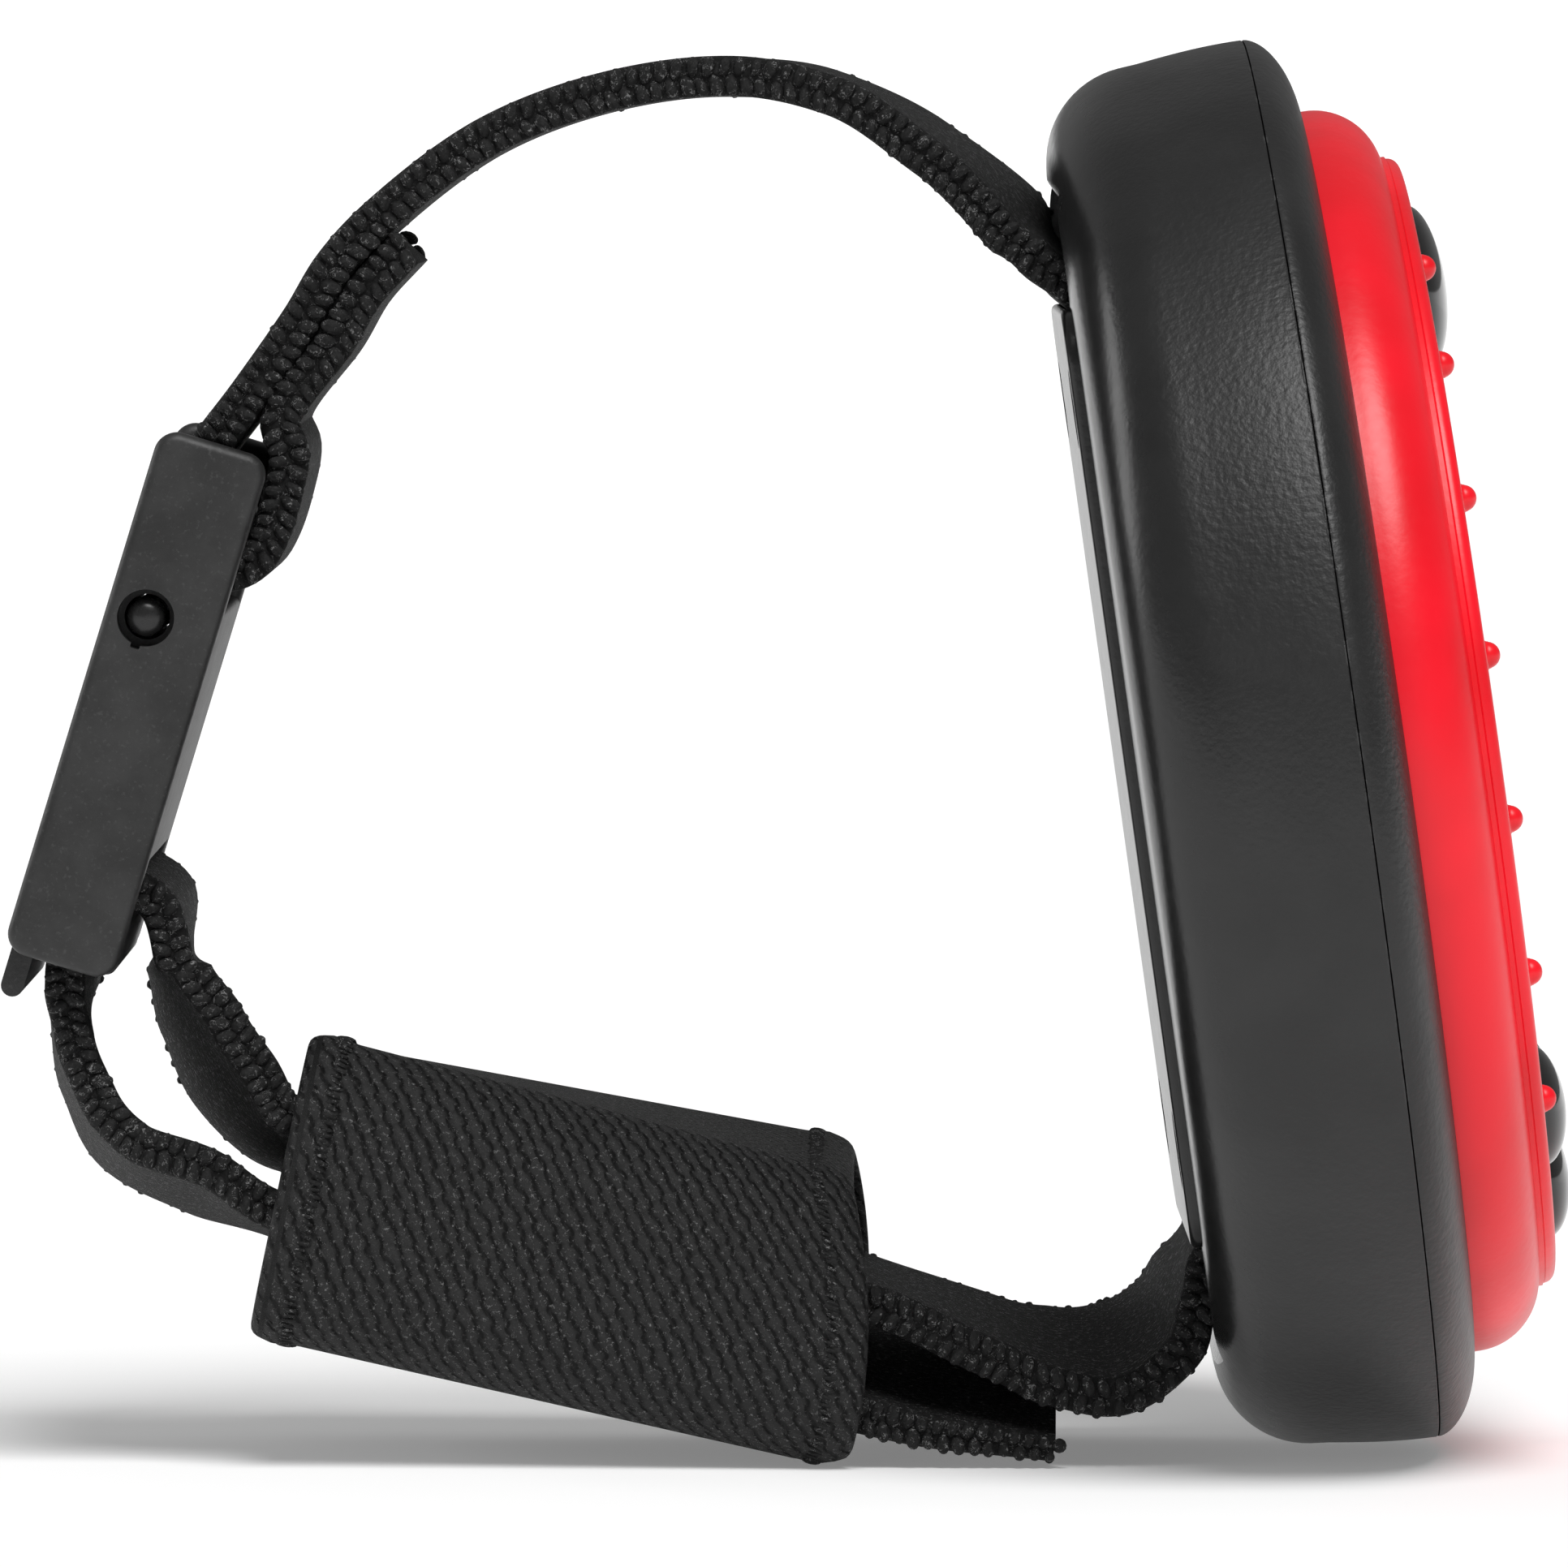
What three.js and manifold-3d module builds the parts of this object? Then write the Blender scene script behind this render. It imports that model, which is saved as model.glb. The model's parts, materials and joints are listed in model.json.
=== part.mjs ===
// A wrist-worn pin cushion: a round magnetic pad on an elastic strap with a lever buckle.
// Millimetres. +X is where the pad faces, +Y runs across the strap, +Z is up.
// The object stands on the rim of its pad and on the underside of its strap keeper.
import * as THREE from "three";
import { mergeVertices } from "three/addons/utils/BufferGeometryUtils.js";
import Module from "manifold-3d";

const wasm = await Module();
wasm.setup();

// ---- driving dimensions ----
const gap = 0.3; // between pieces that touch
const facets = 40; // round the pad

const padRadius = 37.5;
const padDepth = 13.6;
const padLean = 8; // degrees that the face looks up
const padBack = { x: 18.45, z: 36.75 }; // middle of the pad's flat back
const caseWall = 1.6;
const caseFloor = 2;
const caseInnerBevel = 3; // inside, where the floor meets the wall
const backEdgeRadius = 4.8;
const bezelDepth = 2.4;
const bezelSlope = 4; // how far the front edge rolls in
const bezelLip = 1.5;
const skirtDepth = 2.6;
const skirtWall = 1;

const capHeight = 4;
const capEdgeRadius = 3.3;
const capWall = 1.5;
const capFlangeReach = 1.1;
const capFlangeThickness = 1.2;
const plateInset = 3; // from the cap's rim to the plate's
const plateStep = 0.9; // how far the plate's face stands above the cap's
const plateEdgeRadius = 0.55;

const nubRadius = 0.7;
const nubHeight = 0.8;
const nubRoot = 0.3; // sunk in the plate
const nubInset = 2.9; // from the plate's rim to the nubs' ring
const nubPitch = 18; // degrees
const nubsPerSide = 7;
const nubStart = -45; // degrees from straight across, lowest nub

const studPocketDepth = 0.5;
const studStemRadius = 1.4;
const studStemLength = 2.2;
const studEdgeHeight = 0.3; // straight part of a stud's rim
const studs = [
  { name: "top_stud", end: 1, inset: 7, across: 0, radius: 4.4, rise: 1.65 },
  { name: "bottom_stud", end: -1, inset: 5.6, across: 0, radius: 3.3, rise: 1.6 },
  { name: "near_stud", end: -1, inset: 9.8, across: -6.6, radius: 3.3, rise: 1.7 },
  { name: "far_stud", end: -1, inset: 9.8, across: 6.6, radius: 3.3, rise: 1.7 },
];

const magnetSetback = 1.8; // behind the cap's inside
const magnetThickness = 3.4;
const magnetChamfer = 0.5;
const backingThickness = 1;
const backingRim = 3; // the backing plate reaches past the magnet
const carrierInset = 5; // from the cap's inside to the carrier
const carrierWall = 1.4;
const carrierShelf = 4;
const carrierRimDrop = 1; // of the carrier's rim below the magnet's face

const strapWidth = 25;
const strapThickness = 2.2;
const strapSideClearance = 0.5; // each side, where the strap passes through a slot
const strapEdgeRound = 0.3; // as a share of the thickness

const bridgeLength = 49.6;
const bridgeLand = 5; // each side of the channel, for the screws
const bridgeThickness = 1.7;
const bridgeEdgeBevel = 0.3;
const bridgeProud = 0.6;
const bridgeCorner = 3;
const bridgeBevel = 3.2;
const slotRamp = 7; // length of the channel's sloping ends
const slotLevelInset = 0.2; // where the slope starts, from the bridge's end
const screwInset = 5.2;
const screwHeadRadius = 1.8;
const screwHeadThickness = 0.9;
const screwHeadSink = 0.1; // below the bridge's face
const screwRadius = 0.9;
const screwLength = 4.2;
const screwPoint = 0.6;
const screwSlotWidth = 0.5;
const bossWall = 1.6;
const bossCap = 0.6;

const buckleLean = 17; // degrees from upright
const buckleMiddle = { x: -33.9, z: 40.6 };
const buckleLength = 28.6;
const buckleDepth = 6;
const buckleWall = 2.2;
const buckleRound = 1.2;
const buckleEdgeBevel = 0.35;
const buckleSideSlack = 0.1; // more than the strap's own clearance, each side
const barRoot = 0.4; // how far the bars and the floor run into each side
const floorThickness = 1.2;
const floorStartClear = 0.7;
const floorEndClear = 0.4;
const loopBarRadius = 1.2;
const loopBarInset = 4; // from the frame's upper end
const loopBarSkinCover = 0.4;
const gripBarLength = 3.3;
const gripBarDepth = 1.3;
const gripBarRound = 0.6;
const gripBarInset = 0.2; // from the frame's lower end
const pivotInset = 9.8; // from the frame's upper end
const pinRadius = 1;
const pinClearance = 0.25; // round the pin, in the lever
const pinRecess = 0.5;
const pinDome = 0.5;
const pinHoleRadius = 1.5;
const pinHoleNotch = 0.45;
const notchSize = 1.4;
const hubRadius = 1.95;
const hubCrown = 0.2; // of the hub above the lever's arm
const leverThickness = 1.2;
const leverLip = 2.4; // past the frame's lower end
const leverEdgeBevel = 0.2;
const leverTeeth = 3;
const leverToothPitch = 1;
const leverToothHeight = 0.3;
const leverSideClearance = 0.4;

const keeperWall = 1.2;
const keeperSideSlack = 0.7;
const keeperCorner = 3.2;
const keeperLeft = { x: -26, slackAbove: 1.6, slackBelow: 4.6, roll: -4.2 };
const keeperRight = { x: 2.4, slackAbove: 5.1, slackBelow: 1, roll: 1.8 };

const black = "#232325";
const cloth = "#1b1b1c";
const red = "#e3122b";

// ---- derived places ----
const leanRad = THREE.MathUtils.degToRad(padLean);
const padAxis = new THREE.Vector3(Math.cos(leanRad), 0, Math.sin(leanRad));
const padUp = new THREE.Vector3(-Math.sin(leanRad), 0, Math.cos(leanRad));
const padFront = new THREE.Vector3(padBack.x, 0, padBack.z).addScaledVector(padAxis, padDepth);
const caseInner = padRadius - caseWall;
const skirtOuter = caseInner - gap;
const skirtInner = skirtOuter - skirtWall;
const lipRadius = padRadius - bezelSlope;
const capRadius = lipRadius - gap;
const capFlangeRadius = Math.min(capRadius + capFlangeReach, skirtInner - gap);
const plateRadius = capRadius - plateInset;
const plateUnderside = capHeight + gap;
const plateTop = capHeight + plateStep;
const nubRingRadius = plateRadius - nubInset;
const carrierOuter = capRadius - capWall - carrierInset;
const backingRadius = carrierOuter - carrierWall - gap;
const magnetRadius = backingRadius - backingRim;

const bridgeOuter = -padDepth - bridgeProud;
const bridgeInner = bridgeOuter + bridgeThickness;
const channelDepth = strapThickness + 2 * gap;
const channelFloor = bridgeInner + channelDepth;
const channelMiddle = (bridgeInner + channelFloor) / 2;
const channelWidth = strapWidth + 2 * strapSideClearance;
const bridgeWidth = channelWidth + 2 * bridgeLand;
const tunnelRoof = channelFloor + caseWall;
const screwHead = bridgeOuter + screwHeadSink;
const screwTip = screwHead + screwHeadThickness + screwLength;
const screwHoleEnd = screwTip + 2 * gap;
const bossTop = screwHoleEnd + bossCap;

const skinSide = -buckleDepth / 2;
const frameInnerWidth = channelWidth + 2 * buckleSideSlack;
const frameWidth = frameInnerWidth + 2 * buckleWall;
const loopReach = loopBarRadius + gap + strapThickness / 2;
const loopBarAlong = -buckleLength / 2 + loopBarInset;
const loopBarOut = skinSide + loopBarRadius + loopBarSkinCover;
const gripBarEnd = buckleLength / 2 - gripBarInset;
const gripBarStart = gripBarEnd - gripBarLength;
const gripFace = skinSide + gripBarDepth;
const gripCentre = gripFace + gap + strapThickness / 2;
const floorStart = loopBarAlong + loopReach + strapThickness / 2 + floorStartClear;
const floorEnd = gripBarStart - strapThickness - gap - floorEndClear;
const leverFace = gripCentre + strapThickness / 2 + gap + leverToothHeight;
const pivotAlong = -buckleLength / 2 + pivotInset;
const pivotOut = leverFace + leverThickness + hubCrown - hubRadius;

const buckleRad = THREE.MathUtils.degToRad(buckleLean);
const along = new THREE.Vector2(-Math.sin(buckleRad), -Math.cos(buckleRad));
const outward = new THREE.Vector2(-Math.cos(buckleRad), Math.sin(buckleRad));

// a point of the buckle's own side view, down its length and out from the wrist
const onBuckle = (down, out, roll = 0) => ({
  x: buckleMiddle.x + down * along.x + out * outward.x,
  z: buckleMiddle.z + down * along.y + out * outward.y,
  roll,
});

// a point of the pad's own side view, forward of the front plane and up the face
const onPad = (forward, up, roll = 0) => ({
  x: padFront.x + forward * padAxis.x + up * padUp.x,
  z: padFront.z + forward * padAxis.z + up * padUp.z,
  roll,
});

// ---- mesh helpers ----
function material(color, roughness, metalness = 0) {
  return new THREE.MeshStandardMaterial({ color, roughness, metalness });
}

const finishes = {
  shell: material(black, 0.55),
  face: material(red, 0.45),
  gloss: material("#0a0a0b", 0.12),
  strap: material(cloth, 0.95),
  buckle: material("#2a2a2c", 0.6),
  steel: material("#9a9da0", 0.35, 1),
  magnet: material("#4b4b4f", 0.5, 0.6),
  screw: material("#55585c", 0.4, 1),
};

function weld(geometry) {
  const bare = geometry.index ? geometry.toNonIndexed() : geometry.clone();
  bare.deleteAttribute("normal");
  bare.deleteAttribute("uv");
  return mergeVertices(bare, 1e-4);
}

function solid(geometry) {
  const welded = weld(geometry);
  return new wasm.Manifold(new wasm.Mesh({
    numProp: 3,
    vertProperties: new Float32Array(welded.attributes.position.array),
    triVerts: new Uint32Array(welded.index.array),
  }));
}

function toGeometry(manifold) {
  const mesh = manifold.getMesh();
  const geometry = new THREE.BufferGeometry();
  geometry.setAttribute("position", new THREE.BufferAttribute(new Float32Array(mesh.vertProperties), 3));
  geometry.setIndex(new THREE.BufferAttribute(new Uint32Array(mesh.triVerts), 1));
  return geometry;
}

const join = (first, ...rest) => rest.reduce((sum, piece) => sum.add(piece), first);
const cut = (first, ...rest) => rest.reduce((left, piece) => left.subtract(piece), first);

function named(name, shape, finish) {
  const geometry = shape.isBufferGeometry ? shape : toGeometry(shape);
  const mesh = new THREE.Mesh(geometry, finish);
  mesh.name = name;
  return mesh;
}

// a profile of [radius, height] points turned about the Y axis, running up its outside
function turned(points, segments = facets) {
  return new THREE.LatheGeometry(points.map(([r, y]) => new THREE.Vector2(r, y)), segments);
}

function block(sizeX, sizeY, sizeZ, x = 0, y = 0, z = 0) {
  return new THREE.BoxGeometry(sizeX, sizeY, sizeZ).translate(x, y, z);
}

function rod(radius, length, segments = 24) {
  return new THREE.CylinderGeometry(radius, radius, length, segments);
}

// an upright rod from one height to another
function rodBetween(radius, from, to, segments) {
  return rod(radius, to - from, segments).translate(0, (from + to) / 2, 0);
}

const outline = (points) => new THREE.Shape(points.map(([x, y]) => new THREE.Vector2(x, y)));

// points of an elliptical quarter or part turn, from one angle to another in degrees
function arc(centreX, centreY, radiusX, radiusY, from, to, steps) {
  return Array.from({ length: steps + 1 }, (_, i) => {
    const angle = THREE.MathUtils.degToRad(from + ((to - from) * i) / steps);
    return [centreX + radiusX * Math.cos(angle), centreY + radiusY * Math.sin(angle)];
  });
}

function roundedOutline(width, height, radius, centreX = 0, centreY = 0) {
  const w = width / 2 - radius;
  const h = height / 2 - radius;
  const corners = [[w, h, 0], [-w, h, 90], [-w, -h, 180], [w, -h, 270]];
  const points = corners.flatMap(([x, y, turn]) => arc(x, y, radius, radius, turn, turn + 90, 4));
  return outline(points.map(([x, y]) => [x + centreX, y + centreY]));
}

function extruded(shape, depth, bevel = 0) {
  const options = { depth: depth - 2 * bevel, bevelEnabled: bevel > 0, curveSegments: 8 };
  Object.assign(options, { bevelThickness: bevel, bevelSize: bevel, bevelOffset: -bevel, bevelSegments: 1 });
  return new THREE.ExtrudeGeometry(shape, options).translate(0, 0, -depth / 2 + bevel);
}

// ---- the pad, in a frame whose Y runs forward out of the face, X up the face and Z to +Y ----
// the case's outside, or a smaller body inside it, up to the seam
function caseBlank(inset) {
  const round = backEdgeRadius - inset;
  const middle = padRadius - backEdgeRadius;
  const seam = -bezelDepth - gap;
  return solid(turned([
    [0, -padDepth + inset],
    ...arc(middle, -padDepth + backEdgeRadius, round, round, -90, 0, 5),
    [padRadius - inset, seam],
    [0, seam],
  ]));
}

function rearCase() {
  const back = -padDepth;
  const floor = back + caseFloor;
  const hollow = solid(turned([[0, floor], [caseInner - caseInnerBevel, floor],
    [caseInner, floor + caseInnerBevel], [caseInner, 0], [0, 0]]));
  const tunnelLength = bridgeLength + 2 * slotRamp;
  const tunnelDepth = tunnelRoof - back;
  const tunnelWidth = channelWidth + 2 * caseWall;
  const tunnel = solid(block(tunnelLength, tunnelDepth, tunnelWidth, 0, back + tunnelDepth / 2, 0))
    .intersect(caseBlank(caseWall / 2));
  const bosses = bridgeScrewPlaces().map(([x, z]) =>
    solid(rodBetween(screwRadius + bossWall, back + caseWall, bossTop, 20).translate(x, 0, z)));
  const screwHoles = bridgeScrewPlaces().map(([x, z]) =>
    solid(rodBetween(screwRadius + gap, bridgeOuter, screwHoleEnd, 16).translate(x, 0, z)));
  const pocketDepth = bridgeInner + gap - bridgeOuter;
  const pocketOutline = roundedOutline(bridgeLength + 2 * gap, bridgeWidth + 2 * gap, bridgeCorner);
  const pocket = solid(extruded(pocketOutline, pocketDepth).rotateX(Math.PI / 2)
    .translate(0, bridgeOuter + pocketDepth / 2, 0));
  const shell = cut(caseBlank(0), hollow);
  return cut(join(shell, tunnel, ...bosses), pocket, channel(), ...screwHoles);
}

// the strap's way under the bridge: level in the middle, sloping out to the back at both ends
function channel() {
  const level = bridgeLength / 2 - slotLevelInset;
  const slope = (channelFloor + padDepth) / slotRamp;
  const run = slotRamp + 2; // on past the mouth, outside the back
  const outside = channelFloor - slope * run;
  return solid(extruded(outline([[-level, channelFloor], [level, channelFloor], [level + run, outside],
    [-level - run, outside]]), channelWidth));
}

function bridgeScrewPlaces() {
  const x = bridgeLength / 2 - screwInset;
  const z = (channelWidth / 2 + bridgeWidth / 2) / 2;
  return [[x, z], [-x, z], [-x, -z], [x, -z]];
}

function strapBridge() {
  const plan = roundedOutline(bridgeLength, bridgeWidth, bridgeCorner);
  const flat = solid(extruded(plan, bridgeThickness, bridgeEdgeBevel).rotateX(Math.PI / 2)
    .translate(0, bridgeInner - bridgeThickness / 2, 0));
  const past = 1; // the cutting shapes run on past the plate
  const bevels = [1, -1].map((side) => {
    const end = (side * bridgeLength) / 2;
    const points = [[end + side * past, bridgeOuter], [end, bridgeOuter + bridgeEdgeBevel],
      [end - side * bridgeBevel, bridgeInner + 0.1], [end + side * past, bridgeInner + 0.1]];
    return solid(extruded(outline(side < 0 ? points.reverse() : points), channelWidth));
  });
  const seat = screwHead + screwHeadThickness + gap / 2;
  const seats = bridgeScrewPlaces().flatMap(([x, z]) => [
    solid(rodBetween(screwHeadRadius + gap, bridgeOuter - past, seat, 20).translate(x, 0, z)),
    solid(rodBetween(screwRadius + gap, bridgeOuter - past, bridgeInner + past, 16).translate(x, 0, z)),
  ]);
  return cut(flat, ...bevels, ...seats);
}

function bridgeScrew(x, z) {
  const neck = screwHead + screwHeadThickness;
  const rim = screwHeadThickness / 3;
  const body = solid(turned([
    [0, screwHead],
    [screwHeadRadius - rim, screwHead],
    [screwHeadRadius, screwHead + rim],
    [screwHeadRadius, neck],
    [screwRadius, neck],
    [screwRadius, screwTip - screwPoint],
    [screwRadius / 4, screwTip],
    [0, screwTip],
  ], 12));
  const slot = block(1.2 * screwHeadRadius, screwHeadThickness, screwSlotWidth);
  const slots = [0, Math.PI / 2].map((turn) => solid(slot.clone().rotateY(turn).translate(0, screwHead, 0)));
  return cut(body, ...slots).translate([x, 0, z]);
}

function frontBezel() {
  const front = arc(lipRadius, -bezelDepth, bezelSlope, bezelDepth, 0, 90, 5);
  const inner = -bezelDepth - skirtDepth;
  return turned([
    [skirtInner, inner],
    [skirtOuter, inner],
    [skirtOuter, -bezelDepth],
    ...front,
    [lipRadius, -bezelLip],
    [skirtInner, -bezelLip],
    [skirtInner, inner],
  ]);
}

// the red moulding: a shallow dish clipped behind the bezel's lip by its flange
function faceCap() {
  const flangeTop = -bezelLip - gap;
  const flangeUnder = flangeTop - capFlangeThickness;
  const edgeRadius = capEdgeRadius;
  const edge = arc(capRadius - edgeRadius, capHeight - edgeRadius, edgeRadius, edgeRadius, 0, 90, 5);
  const body = solid(turned([
    [0, capHeight - capWall],
    [capRadius - capEdgeRadius, capHeight - capWall],
    [capRadius - capWall, capHeight - capEdgeRadius],
    [capRadius - capWall, flangeUnder],
    [capFlangeRadius, flangeUnder],
    [capFlangeRadius, flangeTop],
    [capRadius, flangeTop],
    ...edge,
    [0, capHeight],
  ]));
  const holes = studs.map((spec) => solid(rodBetween(studStemRadius + gap, flangeUnder, plateTop, 12)
    .translate(studAlong(spec), 0, spec.across)));
  return cut(body, ...holes);
}

function pinPlate() {
  const edgeRadius = plateEdgeRadius;
  const edge = arc(plateRadius - edgeRadius, plateTop - edgeRadius, edgeRadius, edgeRadius, 0, 90, 3);
  const body = solid(turned([[0, plateUnderside], [plateRadius, plateUnderside], ...edge, [0, plateTop]]));
  const above = plateTop + nubHeight + 1;
  const sockets = studs.flatMap((spec) => [
    rodBetween(spec.radius + gap, plateTop - studPocketDepth, above, 20),
    rodBetween(studStemRadius + gap, 0, above, 12),
  ].map((hole) => solid(hole.translate(studAlong(spec), 0, spec.across))));
  const nubs = [1, -1].flatMap((side) => Array.from({ length: nubsPerSide }, (_, i) => {
    const angle = THREE.MathUtils.degToRad(nubStart + i * nubPitch);
    const across = side * nubRingRadius * Math.cos(angle);
    return nub().translate([nubRingRadius * Math.sin(angle), plateTop, across]);
  }));
  return cut(join(body, ...nubs), ...sockets);
}

function nub() {
  const dome = arc(0, nubHeight - nubRadius, nubRadius, nubRadius, 0, 90, 2);
  return solid(turned([[0, -nubRoot], [nubRadius, -nubRoot], ...dome.slice(0, -1), [0, nubHeight]], 8));
}

const studAlong = ({ end, inset }) => end * (plateRadius - inset);

// a glossy domed stud on a stem that passes through the plate and the cap
function stud({ radius, rise }) {
  const base = plateTop - studPocketDepth + gap;
  const top = plateTop + rise;
  const rim = base + studEdgeHeight;
  const dome = arc(0, rim, radius, top - rim, 0, 90, 4);
  const under = base - studStemLength;
  return turned([[0, under], [studStemRadius, under], [studStemRadius, base], [radius, base],
    ...dome.slice(0, -1), [0, top]], 16);
}

function magnetParts() {
  const top = capHeight - capWall - magnetSetback;
  const under = top - magnetThickness;
  const chamfer = magnetChamfer;
  const backing = under - gap - backingThickness;
  const magnet = turned([[0, under], [magnetRadius - chamfer, under], [magnetRadius, under + chamfer],
    [magnetRadius, top - chamfer], [magnetRadius - chamfer, top], [0, top]], 36);
  const plate = turned([[0, backing], [backingRadius, backing], [backingRadius, backing + backingThickness],
    [0, backing + backingThickness]], 36);
  const shelf = backing - gap;
  const foot = Math.max(tunnelRoof, bossTop) + gap;
  const carrier = turned([
    [backingRadius - carrierShelf, foot],
    [carrierOuter, foot],
    [carrierOuter, top - carrierRimDrop],
    [backingRadius + gap, top - carrierRimDrop],
    [backingRadius + gap, shelf],
    [backingRadius - carrierShelf, shelf],
    [backingRadius - carrierShelf, foot],
  ], 36);
  return [
    named("magnet_disc", magnet, finishes.magnet),
    named("magnet_backing_plate", plate, finishes.steel),
    named("magnet_carrier", carrier, finishes.shell),
  ];
}

function pad() {
  const group = new THREE.Group();
  group.position.copy(padFront);
  const basis = new THREE.Matrix4().makeBasis(padUp, padAxis, new THREE.Vector3(0, 1, 0));
  group.quaternion.setFromRotationMatrix(basis);
  group.add(
    named("rear_case", rearCase(), finishes.shell),
    named("front_bezel", frontBezel(), finishes.shell),
    named("face_cap", faceCap(), finishes.face),
    named("pin_plate", pinPlate(), finishes.face),
    named("strap_bridge", strapBridge(), finishes.shell),
    ...magnetParts(),
  );
  bridgeScrewPlaces().forEach(([x, z], i) => {
    group.add(named(`bridge_screw_${i + 1}`, bridgeScrew(x, z), finishes.screw));
  });
  studs.forEach((spec) => {
    const mesh = named(spec.name, stud(spec), finishes.gloss);
    mesh.position.set(studAlong(spec), 0, spec.across);
    group.add(mesh);
  });
  return group;
}

// ---- flat goods: a section carried along a side-view route, rolled about it where it twists ----
// skins a row of equal rings of points and caps both ends
function lofted(rings) {
  const count = rings[0].length;
  const positions = rings.flat().flatMap((p) => [p.x, p.y, p.z]);
  const index = [];
  for (let ring = 0; ring < rings.length - 1; ring += 1) {
    for (let i = 0; i < count; i += 1) {
      const a = ring * count + i;
      const b = ring * count + ((i + 1) % count);
      index.push(a, b, b + count, a, b + count, a + count);
    }
  }
  const last = (rings.length - 1) * count;
  for (let i = 1; i < count - 1; i += 1) {
    index.push(0, i + 1, i, last, last + i, last + i + 1);
  }
  const geometry = new THREE.BufferGeometry();
  geometry.setAttribute("position", new THREE.BufferAttribute(new Float32Array(positions), 3));
  geometry.setIndex(index);
  return geometry;
}

// the two directions across a strip: its width and its thickness, after the roll
function crossAxes(tangent, roll) {
  const level = new THREE.Vector3(0, 1, 0);
  const normal = new THREE.Vector3().crossVectors(tangent, level).normalize();
  const angle = THREE.MathUtils.degToRad(roll);
  return {
    wide: level.clone().multiplyScalar(Math.cos(angle)).addScaledVector(normal, Math.sin(angle)),
    deep: normal.multiplyScalar(Math.cos(angle)).addScaledVector(level, -Math.sin(angle)),
  };
}

// the strap's section at one place: a flat bar with rounded edges
function strapSection(point, tangent, roll, thickness) {
  const { wide, deep } = crossAxes(tangent, roll);
  const round = thickness * strapEdgeRound;
  const w = strapWidth / 2;
  const h = thickness / 2;
  const corners = [[w, round - h], [w, h - round], [w - round, h], [round - w, h], [-w, h - round],
    [-w, round - h], [round - w, -h], [w - round, -h]];
  return corners.map(([y, d]) => point.clone().addScaledVector(wide, y).addScaledVector(deep, d));
}

// moves a stop sideways by a distance, to the right of the way towards the next stop
function beside(stop, next, distance) {
  const way = new THREE.Vector2(next.x - stop.x, next.z - stop.z).normalize();
  return { ...stop, x: stop.x + way.y * distance, z: stop.z - way.x * distance };
}

// ---- the strap's route in one tour: from its sewn end round to its free end ----
const archStops = () => [
  onBuckle(loopBarAlong - 6.7, loopBarOut + 0.65),
  onBuckle(loopBarAlong - 11.45, loopBarOut - 0.9),
  onBuckle(loopBarAlong - 14.6, loopBarOut - 1.7),
  onBuckle(loopBarAlong - 17.8, loopBarOut - 3.25),
  { x: -15.6, z: 70.3 },
  { x: -9.2, z: 72.7 },
  { x: -2.8, z: 73.5 },
  { x: 2.6, z: 72.65, roll: 1 },
  onPad(-padDepth - 5.9, bridgeLength / 2 + 9.3, 3),
  onPad(-padDepth - 2.05, bridgeLength / 2 + 4.8, 5),
];

// the sewn end lies against the inside of the arch
const sewnStops = () => {
  const arch = archStops();
  return [3, 2, 1, 0].map((i) => beside(arch[i], arch[i + 1], strapThickness + gap));
};

const roundLoopBar = () => arc(loopBarAlong, loopBarOut, loopReach, loopReach, -90, 90, 6);

const barLoopStops = () => [
  onBuckle(loopBarAlong - 4.6, loopBarOut - loopReach + 0.25),
  onBuckle(loopBarAlong - 2.2, loopBarOut - loopReach - 0.05),
  ...roundLoopBar().map(([down, out]) => onBuckle(down, out)),
  onBuckle(loopBarAlong - 1.7, loopBarOut + loopReach - 0.25),
  onBuckle(loopBarAlong - 3.6, loopBarOut + loopReach - 0.8),
];

const underBridgeStops = () => {
  const end = bridgeLength / 2;
  const half = [
    [channelMiddle - 3.65, end + 3.1],
    [channelMiddle - 2.3, end + 1.2],
    [channelMiddle - 0.7, end - 0.6],
    [channelMiddle, end - 3],
  ];
  return [
    ...half.map(([forward, up], i) => onPad(forward, up, i ? 0 : 2)),
    onPad(channelMiddle, 0),
    ...half.reverse().map(([forward, up], i) => onPad(forward, -up, i < 3 ? 0 : -3)),
  ];
};

const lowerStops = () => [
  onPad(-padDepth - 2.4, -bridgeLength / 2 - 4.9, -5),
  { x: 17.6, z: 5.3, roll: -6 },
  { x: 14.2, z: 5.4, roll: -4 },
  { x: 11.4, z: 6.3, roll: -2 },
  { x: 4.7, z: 8.9, roll: 0 },
  { x: -5, z: 12.2, roll: 1 },
  { x: -15, z: 15.4, roll: 4 },
  { x: -25.4, z: 18.7, roll: 8 },
  { x: -28.6, z: 20.9, roll: 10 },
  { x: -30.9, z: 23.7, roll: 8 },
  onBuckle(gripBarStart + 1.6, skinSide - 3.2, 2),
  onBuckle(gripBarStart - 0.8, skinSide - 1.2),
];

// round the grip bar: in over its top, down its outer face and out at the frame's lower end
const gripStops = () => {
  const bend = gripBarRound + gap + strapThickness / 2;
  const downAt = gripBarStart + gripBarRound;
  const outAt = gripFace - gripBarRound;
  return [
    ...arc(downAt, outAt, bend, bend, 180, 90, 4).map(([down, out]) => onBuckle(down, out)),
    onBuckle(gripBarEnd, gripCentre - 0.02),
  ];
};

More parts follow.
